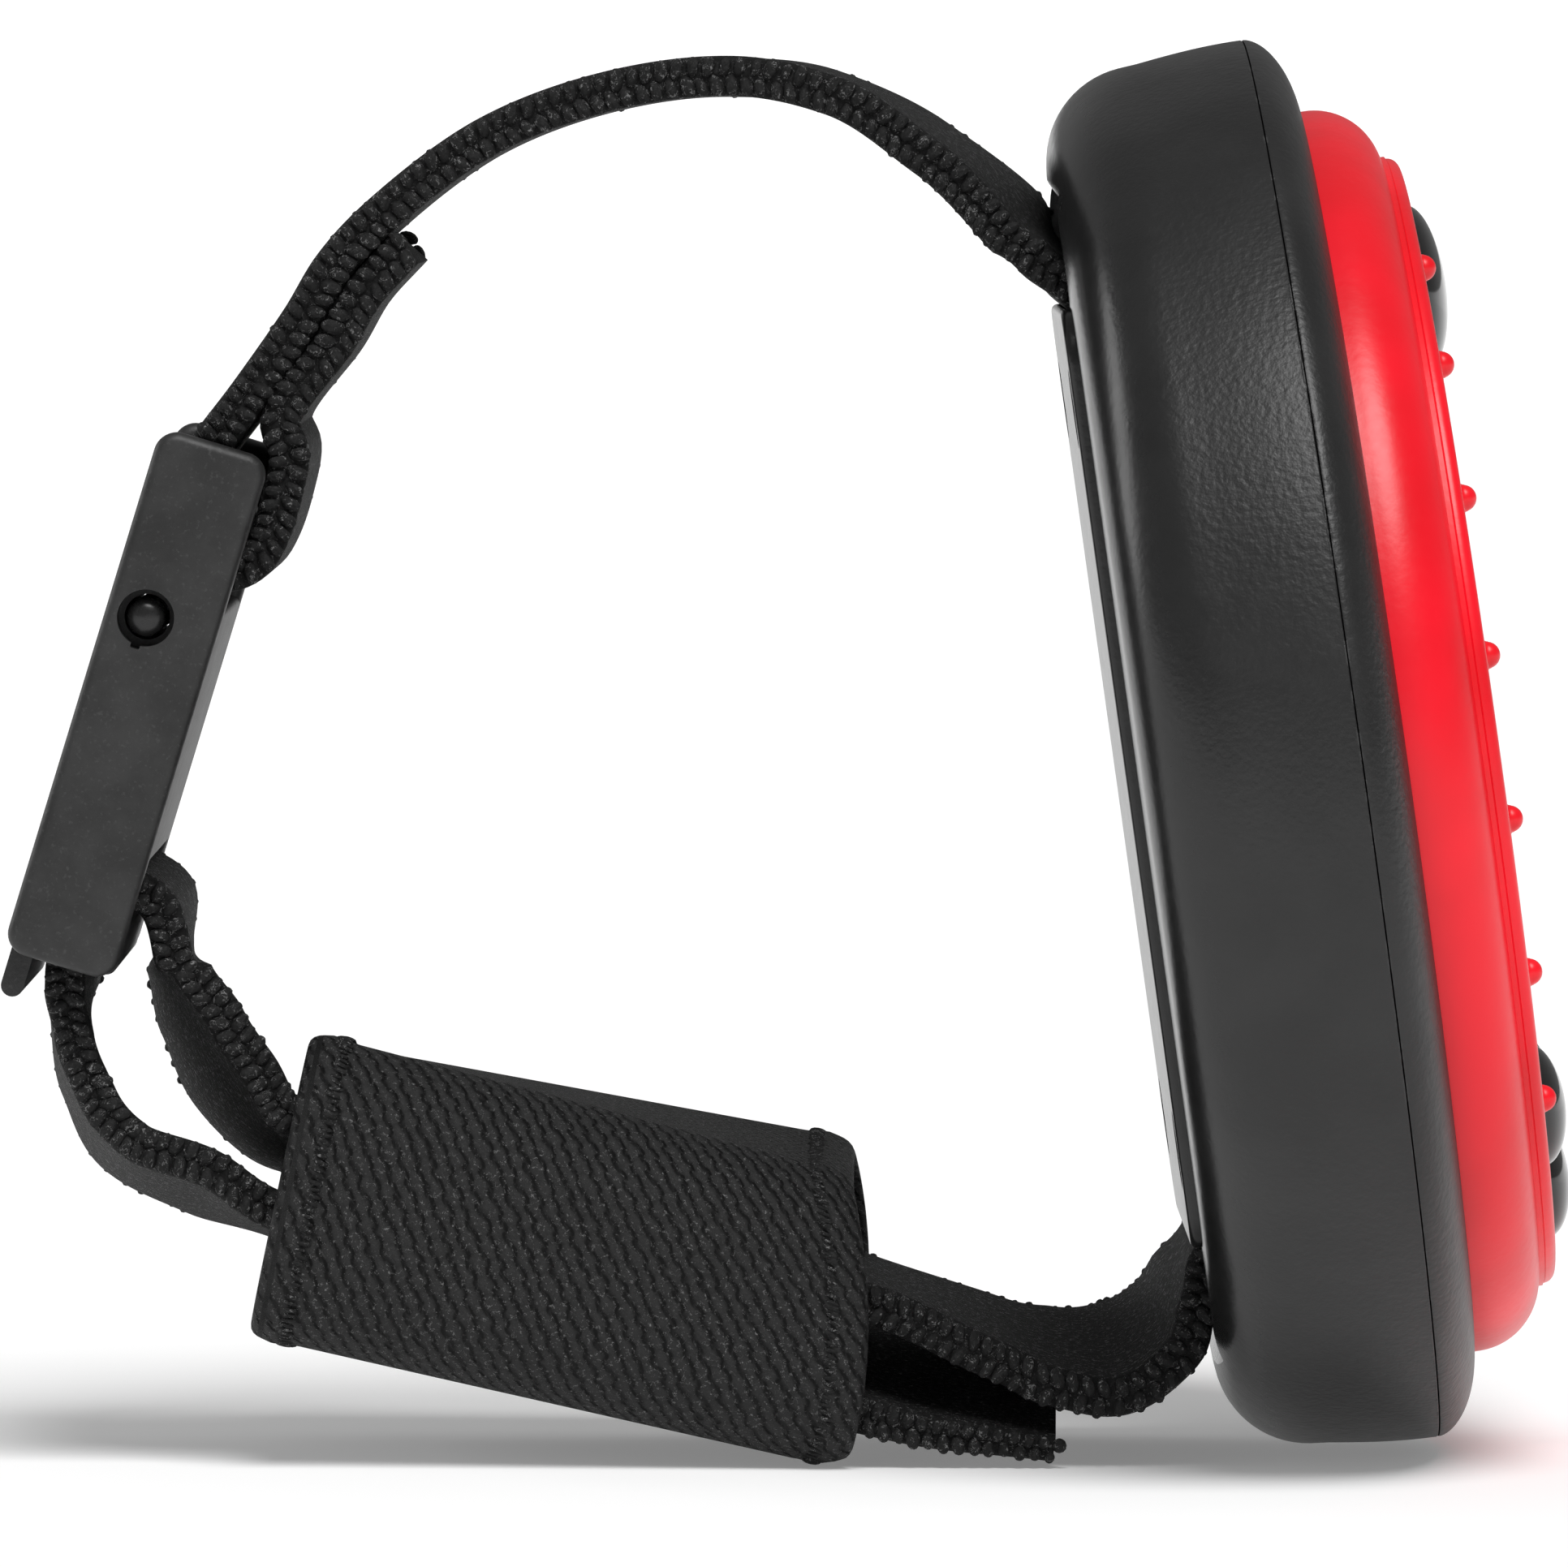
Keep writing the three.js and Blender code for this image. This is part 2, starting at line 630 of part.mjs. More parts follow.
const tailStops = () => [
  onBuckle(gripBarEnd + 1.6, gripCentre - 0.4),
  onBuckle(gripBarEnd + 3.92, gripCentre - 1, -3),
  onBuckle(gripBarEnd + 7.05, gripCentre - 2.9, -7),
  onBuckle(gripBarEnd + 9.3, gripCentre - 5.6, -9),
  { x: -31.1, z: 14.7, roll: -8 },
  { x: -27, z: 12.9, roll: -5 },
  { x: -15, z: 9.5, roll: -1 },
  { x: -4, z: 6.2, roll: 1.5 },
  { x: 3, z: 3.9, roll: 3 },
  { x: 8, z: 2.9, roll: 4, thick: 0.85 },
  { x: 14.8, z: 2.1, roll: 4, thick: 0.65 },
];

// the stretches of the tour, each with the number of steps along it
const stretches = [
  { name: "strap_sewn_end", stops: sewnStops(), steps: 8 },
  { name: "strap_bar_loop", stops: barLoopStops(), steps: 20 },
  { name: "strap_arch", stops: archStops(), steps: 22 },
  { name: "strap_under_bridge", stops: underBridgeStops(), steps: 20 },
  { name: "strap_lower_run", stops: lowerStops(), steps: 30 },
  { name: "strap_grip_turn", stops: gripStops(), steps: 12 },
  { name: "strap_tail", stops: tailStops(), steps: 24 },
];

// cuts the tour into its stretches, which meet face to face with the usual gap
function strap() {
  const stops = stretches.flatMap((stretch) => stretch.stops);
  const last = stops.length - 1;
  const places = stops.map(({ x, z }) => new THREE.Vector3(x, 0, z));
  const curve = new THREE.CatmullRomCurve3(places, false, "centripetal");
  const at = (u, key, fallback) => {
    const i = Math.min(Math.floor(u * last), last - 1);
    const t = u * last - i;
    const ease = t * t * (3 - 2 * t);
    return (stops[i][key] ?? fallback) * (1 - ease) + (stops[i + 1][key] ?? fallback) * ease;
  };
  const inset = (u, sign) => {
    const before = Math.max(u - 1e-4, 0);
    const after = Math.min(u + 1e-4, 1);
    const speed = curve.getPoint(after).distanceTo(curve.getPoint(before)) / (after - before);
    return u + (sign * gap) / speed;
  };
  let first = 0;
  return stretches.map(({ name, stops: own, steps }) => {
    const start = inset(first / last, 1);
    first = Math.min(first + own.length, last);
    const end = inset(first / last, -1);
    const rings = Array.from({ length: steps + 1 }, (_, i) => {
      const u = start + ((end - start) * i) / steps;
      const thickness = strapThickness * at(u, "thick", 1);
      return strapSection(curve.getPoint(u), curve.getTangent(u), at(u, "roll", 0), thickness);
    });
    return named(name, lofted(rings), finishes.strap);
  });
}

// ---- the keeper: a loose knitted tube round both lower strands ----
function keeper() {
  const half = strapThickness / 2 + keeperWall;
  const around = (end, upper, lower) => ({
    ...end,
    top: upper.z + half + end.slackAbove,
    bottom: lower.z - half - end.slackBelow,
  });
  const lower = lowerStops();
  const tail = tailStops();
  const ends = [around(keeperLeft, lower[7], tail[5]), around(keeperRight, lower[4], tail[8])];
  const slope = new THREE.Vector3(ends[1].x - ends[0].x, 0,
    (ends[1].top + ends[1].bottom - ends[0].top - ends[0].bottom) / 2).normalize();
  const steps = 5;
  const tube = (shrink, past) => lofted(Array.from({ length: steps + 1 }, (_, i) => {
    const t = i / steps;
    const mix = (key) => ends[0][key] * (1 - t) + ends[1][key] * t;
    const middle = new THREE.Vector3(mix("x"), 0, (mix("top") + mix("bottom")) / 2);
    if (i === 0) middle.addScaledVector(slope, -past);
    if (i === steps) middle.addScaledVector(slope, past);
    const { wide, deep } = crossAxes(slope, mix("roll"));
    const width = strapWidth + 2 * (keeperSideSlack + keeperWall - shrink);
    const height = (mix("top") - mix("bottom")) * slope.x - 2 * shrink;
    const section = roundedOutline(width, height, keeperCorner - shrink).getPoints();
    const place = (p) => middle.clone().addScaledVector(wide, p.x).addScaledVector(deep, p.y);
    return section.slice(0, 20).map(place);
  }));
  return named("strap_keeper", cut(solid(tube(0, 0)), solid(tube(keeperWall, 1))), finishes.strap);
}

// ---- the buckle, in a frame whose X runs down its length, Y out from the wrist and Z across ----
function buckleFrame() {
  const sides = [1, -1].map((side) => solid(extruded(
    roundedOutline(buckleLength, buckleDepth, buckleRound), buckleWall, buckleEdgeBevel)
    .translate(0, 0, (side * (frameInnerWidth + buckleWall)) / 2)));
  const across = frameInnerWidth + 2 * barRoot;
  const floor = solid(block(floorEnd - floorStart, floorThickness, across,
    (floorStart + floorEnd) / 2, skinSide + floorThickness / 2, 0));
  const loopBar = solid(crossRod(loopBarRadius, across, 20).translate(loopBarAlong, loopBarOut, 0));
  const gripBar = solid(extruded(roundedOutline(gripBarLength, gripBarDepth, gripBarRound,
    (gripBarStart + gripBarEnd) / 2, skinSide + gripBarDepth / 2), across));
  const through = frameWidth + 2;
  const hole = solid(crossRod(pinHoleRadius, through).translate(pivotAlong, pivotOut, 0));
  const notchAlong = pivotAlong + pinHoleRadius + pinHoleNotch - notchSize * Math.SQRT1_2;
  const notch = solid(block(notchSize, notchSize, through).rotateZ(Math.PI / 4)
    .translate(notchAlong, pivotOut, 0));
  return cut(join(sides[0], sides[1], floor, loopBar, gripBar), hole, notch);
}

const crossRod = (radius, length, segments) => rod(radius, length, segments).rotateX(Math.PI / 2);

function buckleLever() {
  const end = buckleLength / 2 + leverLip;
  const half = leverThickness / 2;
  const arm = solid(extruded(outline([
    ...arc(pivotAlong, pivotOut, hubRadius, hubRadius, 85, 305, 12),
    [pivotAlong + hubRadius, leverFace - hubCrown],
    [pivotAlong + hubRadius + 1, leverFace],
    ...arc(end - half, leverFace + half, half, half, -90, 90, 6),
    [pivotAlong + 1, leverFace + leverThickness],
  ]), frameInnerWidth - 2 * leverSideClearance, leverEdgeBevel));
  const pitch = leverToothPitch;
  const tooth = outline([[0, 0.1], [0.3 * pitch, -leverToothHeight], [0.6 * pitch, -leverToothHeight],
    [0.9 * pitch, 0.1]]);
  const teeth = Array.from({ length: leverTeeth }, (_, i) =>
    solid(extruded(tooth, strapWidth - 2).translate(gripBarStart + i * pitch, leverFace, 0)));
  const bore = solid(crossRod(pinRadius + pinClearance, frameWidth).translate(pivotAlong, pivotOut, 0));
  return cut(join(arm, ...teeth), bore);
}

function leverPin() {
  const half = frameWidth / 2 - pinRecess;
  const dome = arc(0, half - pinDome, pinRadius, pinDome, 0, 90, 3).slice(0, -1);
  const lower = dome.map(([r, y]) => [r, -y]).reverse();
  return turned([[0, -half], ...lower, ...dome, [0, half]], 20).rotateX(Math.PI / 2)
    .translate(pivotAlong, pivotOut, 0);
}

function buckle() {
  const group = new THREE.Group();
  const axisX = new THREE.Vector3(along.x, 0, along.y);
  const axisY = new THREE.Vector3(outward.x, 0, outward.y);
  group.position.set(buckleMiddle.x, 0, buckleMiddle.z);
  group.quaternion.setFromRotationMatrix(
    new THREE.Matrix4().makeBasis(axisX, axisY, new THREE.Vector3().crossVectors(axisX, axisY)));
  group.add(
    named("buckle_frame", buckleFrame(), finishes.buckle),
    named("buckle_lever", buckleLever(), finishes.buckle),
    named("lever_pin", leverPin(), finishes.steel),
  );
  return group;
}

// stands the object on Z = 0 with its origin under the middle of its box
const object = new THREE.Group();
object.add(pad(), ...strap(), keeper(), buckle());
object.updateMatrixWorld(true);
const extent = new THREE.Box3().setFromObject(object, true);
object.position.set(-(extent.min.x + extent.max.x) / 2, 0, -extent.min.z);

const model = new THREE.Group();
model.add(object);
export default model;
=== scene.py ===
import json
import math

import bpy
import numpy as np
from mathutils import Matrix, Vector

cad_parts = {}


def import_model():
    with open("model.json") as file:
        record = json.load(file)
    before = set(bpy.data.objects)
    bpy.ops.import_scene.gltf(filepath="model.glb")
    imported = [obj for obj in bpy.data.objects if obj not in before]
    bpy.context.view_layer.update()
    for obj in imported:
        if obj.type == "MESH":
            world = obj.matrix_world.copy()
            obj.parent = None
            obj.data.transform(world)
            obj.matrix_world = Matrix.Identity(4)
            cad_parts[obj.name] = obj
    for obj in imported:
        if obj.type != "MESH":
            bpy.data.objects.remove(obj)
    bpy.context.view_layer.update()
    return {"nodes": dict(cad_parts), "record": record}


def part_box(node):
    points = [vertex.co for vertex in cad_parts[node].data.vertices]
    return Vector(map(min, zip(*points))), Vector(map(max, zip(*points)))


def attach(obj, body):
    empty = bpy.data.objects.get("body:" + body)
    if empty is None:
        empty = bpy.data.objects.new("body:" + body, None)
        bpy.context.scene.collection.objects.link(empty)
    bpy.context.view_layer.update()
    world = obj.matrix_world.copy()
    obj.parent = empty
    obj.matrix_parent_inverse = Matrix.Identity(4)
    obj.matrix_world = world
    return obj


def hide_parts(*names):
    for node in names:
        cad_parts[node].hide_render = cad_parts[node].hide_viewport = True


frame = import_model()
mm = 0.001
seeded = np.random.default_rng(7)
print("stage: frame loaded")


# where things are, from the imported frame
mounts = {mount["name"]: mount for mount in frame["record"]["mounts"]}
padAxis = np.array(mounts["pin_face"]["axis"])
padUp = np.array([-padAxis[2], 0.0, padAxis[0]])
acrossAxis = np.array([0.0, 1.0, 0.0])

pad = {"radius": 37.5, "depth": 13.6, "plateTop": 4.9}
padFront = np.array(mounts["pin_face"]["pos_m"]) / mm - pad["plateTop"] * padAxis

buckle = {
    "lean": 17.0, "length": 28.6, "depth": 6.0, "wall": 2.2, "corner": 1.2, "innerWidth": 26.2,
    "pivotAlong": -4.5, "pivotOut": 0.85, "loopBarAlong": -10.3, "loopBarOut": -1.4, "loopReach": 2.6,
    "gripStart": 10.8, "gripEnd": 14.1, "gripFace": -1.7, "gripCentre": -0.3, "skinSide": -3.0,
}
lean = math.radians(buckle["lean"])
buckleDown = np.array([-math.sin(lean), 0.0, -math.cos(lean)])
buckleOut = np.array([-math.cos(lean), 0.0, math.sin(lean)])
lowPin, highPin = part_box("lever_pin")
pinCentre = (np.array(lowPin) + np.array(highPin)) / 2 / mm
buckleMiddle = pinCentre - buckle["pivotAlong"] * buckleDown - buckle["pivotOut"] * buckleOut


# millimetres on the pad: forward of its front plane, up its face and across
def onPad(forward, up, across=0.0):
    return padFront + np.multiply.outer(forward, padAxis) + np.multiply.outer(up, padUp) \
        + np.multiply.outer(across, acrossAxis)


# millimetres on the buckle: down its length, out from the wrist and across
def onBuckle(down, out, across=0.0):
    return buckleMiddle + np.multiply.outer(down, buckleDown) + np.multiply.outer(out, buckleOut) \
        + np.multiply.outer(across, acrossAxis)


# making meshes
# rows of points joined row to row; closed rows join their last point to their first
def gridFaces(rows, columns, closeRows=False, closeColumns=True, first=0):
    r = np.arange(rows if closeRows else rows - 1)[:, None]
    c = np.arange(columns if closeColumns else columns - 1)[None, :]
    nextRow, nextColumn = (r + 1) % rows, (c + 1) % columns
    corners = [r * columns + c, r * columns + nextColumn, nextRow * columns + nextColumn, nextRow * columns + c]
    return first + np.stack([np.broadcast_to(k, (r.size, c.size)) for k in corners], axis=-1).reshape(-1, 4)


# a fan of triangles from one point to a ring of points
def fanFaces(centre, ring):
    ring = np.asarray(ring)
    return np.stack([np.full(ring.size, centre), ring, np.roll(ring, -1)], axis=-1)


# six times the volume inside the faces: the sum of a . (b x c) over their triangles
def signedVolume(points, faces):
    total = 0.0
    for k in range(1, faces.shape[1] - 1):
        a, b, c = points[faces[:, 0]], points[faces[:, k]], points[faces[:, k + 1]]
        total += np.einsum("ij,ij->", a, np.cross(b, c))
    return total


# a mesh object from points in millimetres and arrays of faces, turned to face out
def meshObject(name, points, faceSets, uv=None, sharpAngle=40):
    points = np.asarray(points, float).reshape(-1, 3)
    middle = points.mean(axis=0)
    volume = sum(signedVolume(points - middle, faces) for faces in faceSets)
    if volume < 0:
        faceSets = [faces[:, ::-1] for faces in faceSets]
    mesh = bpy.data.meshes.new(name)
    mesh.from_pydata((points * mm).tolist(), [], [f for faces in faceSets for f in faces.tolist()])
    if uv is not None:
        corner = np.empty(len(mesh.loops), np.int32)
        mesh.loops.foreach_get("vertex_index", corner)
        layer = mesh.uv_layers.new(name="surface")
        layer.data.foreach_set("uv", np.asarray(uv, np.float32)[corner].ravel())
    mesh.polygons.foreach_set("use_smooth", np.ones(len(mesh.polygons), bool))
    mesh.set_sharp_from_angle(angle=math.radians(sharpAngle))
    mesh.update()
    made = bpy.data.objects.new(name, mesh)
    bpy.context.scene.collection.objects.link(made)
    return made


# a ring surface with its two open ends closed by fans; rings is rows x columns x 3
def tubeObject(name, rings, uv=None, sharpAngle=40):
    rows, columns = rings.shape[:2]
    points = np.concatenate([rings.reshape(-1, 3), rings[0].mean(axis=0)[None], rings[-1].mean(axis=0)[None]])
    start, end = rows * columns, rows * columns + 1
    fans = np.concatenate([fanFaces(start, np.arange(columns)[::-1]),
                           fanFaces(end, np.arange(columns) + (rows - 1) * columns)])
    if uv is not None:
        uv = np.concatenate([uv.reshape(-1, 2), uv[0].mean(axis=0)[None], uv[-1].mean(axis=0)[None]])
    return meshObject(name, points, [gridFaces(rows, columns), fans], uv, sharpAngle)


# points of a part turn of an ellipse, between two angles in degrees
def arc(centreX, centreY, radiusX, radiusY, start, end, steps=12):
    angle = np.radians(np.linspace(start, end, steps + 1))
    return np.stack([centreX + radiusX * np.cos(angle), centreY + radiusY * np.sin(angle)], axis=-1)


# a closed outline of a rectangle with round corners
def roundedOutline(width, height, radius, steps=8):
    w, h = width / 2 - radius, height / 2 - radius
    corners = [(w, h, 0), (-w, h, 90), (-w, -h, 180), (w, -h, 270)]
    return np.concatenate([arc(x, y, radius, radius, turn, turn + 90, steps) for x, y, turn in corners])


# a profile of (radius, forward) turned about the pad's axis at one place on the pad;
# a point is forward along the axis and radius * (cos a, sin a) up and across
def turnedOnPad(name, profile, up=0.0, across=0.0, segments=192, sharpAngle=30):
    profile = np.asarray(profile, float)
    angle = np.linspace(0, 2 * math.pi, segments, endpoint=False)
    radius, forward = profile[:, 0][:, None], profile[:, 1][:, None]
    rings = onPad(forward + 0 * angle, up + radius * np.cos(angle), across + radius * np.sin(angle))
    return tubeObject(name, rings, sharpAngle=sharpAngle)


# a flat outline given thickness along a third direction, with round edges:
# rings of the outline drawn in by r(1 - cos a) while they rise by r(1 - sin a)
def cushionedSlab(name, shrunk, place, thickness, edge, steps=5, sharpAngle=40):
    turn = np.linspace(0, math.pi / 2, steps + 1)
    inset = edge * (1 - np.sin(turn))
    rise = thickness / 2 - edge * (1 - np.cos(turn))
    levels = list(zip(inset, -rise)) + list(zip(inset[::-1], rise[::-1]))
    rings = np.stack([place(*shrunk(drawn).T, height) for drawn, height in levels])
    return tubeObject(name, rings, sharpAngle=sharpAngle)


# the mesh of an object with its modifiers worked in
def plainMesh(target):
    depsgraph = bpy.context.evaluated_depsgraph_get()
    return bpy.data.meshes.new_from_object(target.evaluated_get(depsgraph))


# cuts the tools out of a piece and leaves the result as its mesh
def cutAway(piece, tools, sharpAngle=30):
    for tool in tools:
        step = piece.modifiers.new("cut", "BOOLEAN")
        step.object = tool
        step.operation = "DIFFERENCE"
        step.solver = "EXACT"
    mesh = plainMesh(piece)
    piece.modifiers.clear()
    piece.data = mesh
    for tool in tools:
        bpy.data.objects.remove(tool)
    mesh.polygons.foreach_set("use_smooth", np.ones(len(mesh.polygons), bool))
    mesh.set_sharp_from_angle(angle=math.radians(sharpAngle))
    return piece


def joined(name, pieces):
    with bpy.context.temp_override(active_object=pieces[0], selected_editable_objects=pieces, object=pieces[0]):
        bpy.ops.object.join()
    pieces[0].name = name
    return pieces[0]


def dress(piece, body, finish, slot, *nodes):
    piece.data.materials.clear()
    piece.data.materials.append(finish)
    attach(piece, body)
    if nodes:
        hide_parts(*nodes)
    return piece


# shader wiring
# one value on its way through a material: arithmetic on it adds Math nodes
class Wire:
    def __init__(self, tree, socket=None):
        self.tree = tree
        self.socket = socket

    # any node: its type, its settings, its inputs by name or number, and which output to go on from
    def node(self, kind, settings=None, inputs=None, output=0):
        made = self.tree.nodes.new(kind)
        for key, value in (settings or {}).items():
            setattr(made, key, value)
        for key, value in (inputs or {}).items():
            if isinstance(value, Wire):
                self.tree.links.new(value.socket, made.inputs[key])
            else:
                made.inputs[key].default_value = value
        return Wire(self.tree, made.outputs[output] if len(made.outputs) else None)

    def maths(self, operation, first, second=None):
        inputs = {0: first} if second is None else {0: first, 1: second}
        return self.node("ShaderNodeMath", {"operation": operation}, inputs)

    def __add__(self, other):
        return self.maths("ADD", self, other)

    def __radd__(self, other):
        return self.maths("ADD", other, self)

    def __sub__(self, other):
        return self.maths("SUBTRACT", self, other)

    def __rsub__(self, other):
        return self.maths("SUBTRACT", other, self)

    def __mul__(self, other):
        return self.maths("MULTIPLY", self, other)

    def __rmul__(self, other):
        return self.maths("MULTIPLY", other, self)

    def __abs__(self):
        return self.maths("ABSOLUTE", self)

    def sine(self):
        return self.maths("SINE", self)

    def floor(self):
        return self.maths("FLOOR", self)

    # 0 below low, 1 above high, eased between
    def between(self, low, high):
        return self.node("ShaderNodeMapRange", {"interpolation_type": "SMOOTHSTEP"},
                         {"Value": self, "From Min": low, "From Max": high})

    # the place on the object in millimetres
    def place(self):
        where = self.node("ShaderNodeTexCoord", output="Object")
        return self.node("ShaderNodeVectorMath", {"operation": "SCALE"}, {0: where, "Scale": 1000.0})

    # the surface coordinate in millimetres, along and around
    def surface(self):
        return self.node("ShaderNodeUVMap", {"uv_map": "surface"})

    def noise(self, where, scale, detail=2.0, roughness=0.5, distortion=0.0):
        return self.node("ShaderNodeTexNoise", {}, {"Vector": where, "Scale": scale, "Detail": detail,
                                                    "Roughness": roughness, "Distortion": distortion})

    def blendColour(self, factor, dark, light):
        return self.node("ShaderNodeMix", {"data_type": "RGBA"}, {0: factor, 6: dark, 7: light}, output=2)

    def bump(self, height, strength, distance, normal=None):
        inputs = {"Height": height, "Strength": strength, "Distance": distance * mm}
        if normal is not None:
            inputs["Normal"] = normal
        return self.node("ShaderNodeBump", {}, inputs)


def newFinish(name):
    made = bpy.data.materials.new(name)
    made.use_nodes = True
    made.node_tree.nodes.clear()
    return made, Wire(made.node_tree)


def finishWith(start, settings):
    shader = start.node("ShaderNodeBsdfPrincipled", {}, settings)
    start.node("ShaderNodeOutputMaterial", {}, {"Surface": shader})


def grey(value):
    return (value, value, value, 1)


# finishes
# grained black plastic, polished towards the back edge, with a broken line of flash along the seam
def blackShellFinish():
    look = {"dark": 0.008, "light": 0.014, "grainPerMm": 2.7, "grainDepth": 0.06, "rough": 0.36, "polish": 0.20,
            "polishEnds": (-12.5, -7.5), "seam": -2.42}
    made, start = newFinish("black_shell")
    where = start.place()
    forward = start.node("ShaderNodeVectorMath", {"operation": "DOT_PRODUCT"}, {0: where, 1: tuple(padAxis)},
                         output=1) - float(padFront @ padAxis)
    grained = forward.between(*look["polishEnds"])
    grain = start.noise(where, look["grainPerMm"], 2.0, 0.5)
    seam = 1 - abs(forward - look["seam"]).between(0.02, 0.16)
    flash = seam * start.noise(where, 0.8, 4.0, 0.7).between(0.5, 0.62)
    cloud = start.noise(where, 0.14, 3.0)
    colour = start.blendColour(cloud.between(0.3, 0.7), grey(look["dark"]), grey(look["light"]))
    colour = start.blendColour(flash * 0.6, colour, grey(0.06))
    rough = look["polish"] + (look["rough"] - look["polish"]) * grained + 0.10 * start.noise(where, 1.1, 3.0)
    height = grain * (0.25 + 0.75 * grained) + flash * 0.8
    finishWith(start, {"Base Color": colour, "Roughness": rough + 0.2 * flash, "Specular IOR Level": 0.5,
                       "Normal": start.bump(height, 0.7, look["grainDepth"])})
    return made


def redFaceFinish():
    look = {"deep": (0.78, 0.0015, 0.010, 1), "bright": (0.92, 0.002, 0.016, 1), "rough": 0.30}
    made, start = newFinish("red_face")
    where = start.place()
    peel = start.noise(where, 1.9, 2.0, 0.5)
    colour = start.blendColour(start.noise(where, 0.1, 2.0).between(0.35, 0.65), look["deep"], look["bright"])
    finishWith(start, {"Base Color": colour, "Roughness": look["rough"] + 0.08 * peel, "Specular IOR Level": 0.5,
                       "Normal": start.bump(peel, 0.35, 0.03)})
    return made


def glossStudFinish():
    made, start = newFinish("gloss_stud")
    where = start.place()
    haze = start.noise(where, 0.5, 3.0)
    finishWith(start, {"Base Color": grey(0.008), "Roughness": 0.07 + 0.07 * haze, "Specular IOR Level": 0.6,
                       "Coat Weight": 0.3, "Coat Roughness": 0.05,
                       "Normal": start.bump(start.noise(where, 0.9, 1.0), 0.1, 0.02)})
    return made


def bucklePlasticFinish():
    look = {"dark": 0.010, "light": 0.024, "speckle": 0.055, "rough": 0.42}
    made, start = newFinish("buckle_plastic")
    where = start.place()
    cloud = start.noise(where, 0.3, 4.0, 0.6)
    speckle = start.noise(where, 4.2, 3.0, 0.65).between(0.56, 0.72)
    base = start.blendColour(cloud.between(0.3, 0.7), grey(look["dark"]), grey(look["light"]))
    colour = start.blendColour(speckle * 0.5, base, grey(look["speckle"]))
    waves = start.noise(where, 0.9, 3.0, 0.6)
    skin = start.bump(start.noise(where, 3.4, 3.0, 0.6), 0.6, 0.04)
    finishWith(start, {"Base Color": colour, "Roughness": look["rough"] + 0.16 * waves, "Specular IOR Level": 0.5,
                       "Normal": start.bump(waves, 0.25, 0.12, skin)})
    return made


# short curly fibre ends, coloured pale in the finishes as painted glints: the lines where one noise crosses its
# middle value, kept where another is high
def glintCurls(start, where, perMm):
    field = start.noise(where, perMm, 1.0, 0.5, 1.5)
    line = 1 - abs(field - 0.5).between(0.015, 0.05)
    return line * start.noise(where, perMm * 0.9, 2.0).between(0.50, 0.60)


# fuzzy knit: loops broken up by noise, darker in the low gaps between loops as painted shade, with fibre ends
# painted pale as glints
def elasticFinish():
    look = {"dark": 0.0015, "light": 0.010, "glintFibre": 0.16, "loopsPerMm": 1.7, "rough": 0.75}
    made, start = newFinish("elastic_knit")
    where = start.surface()
    loops = start.node("ShaderNodeTexVoronoi", {"feature": "F1"},
                       {"Vector": where, "Scale": look["loopsPerMm"], "Randomness": 0.85})
    fuzz = start.noise(where, 3.2, 4.0, 0.7, 1.2)
    glintFibres = glintCurls(start, where, 3.0)
    height = fuzz * 0.8 + (1 - loops) * 0.5
    # colour follows the height: the low gaps between loops are darkened as painted shade, over random tone from
    # the fuzz noise
    colour = start.blendColour(height.between(0.5, 1.0), grey(look["dark"]), grey(look["light"]))
    # fibre ends coloured pale: painted glints
    colour = start.blendColour(glintFibres, colour, grey(look["glintFibre"]))
    finishWith(start, {"Base Color": colour, "Roughness": look["rough"] - 0.3 * glintFibres, "Specular IOR Level": 0.3,
                       "Normal": start.bump(height + glintFibres * 0.3, 0.9, 0.2)})
    return made


def yarnFinish():
    look = {"dark": 0.0015, "light": 0.012, "glintFibre": 0.18, "rough": 0.68}
    made, start = newFinish("selvedge_yarn")
    where = start.place()
    fuzz = start.noise(where, 4.5, 4.0, 0.7, 1.0)
    glintFibres = glintCurls(start, where, 3.4)
    colour = start.blendColour(fuzz.between(0.4, 0.7), grey(look["dark"]), grey(look["light"]))
    # fibre ends coloured pale: painted glints
    colour = start.blendColour(glintFibres, colour, grey(look["glintFibre"]))
    rough = look["rough"] - 0.25 * glintFibres
    finishWith(start, {"Base Color": colour, "Roughness": rough, "Specular IOR Level": 0.35,
                       "Normal": start.bump(fuzz + glintFibres * 0.4, 0.8, 0.12)})
    return made


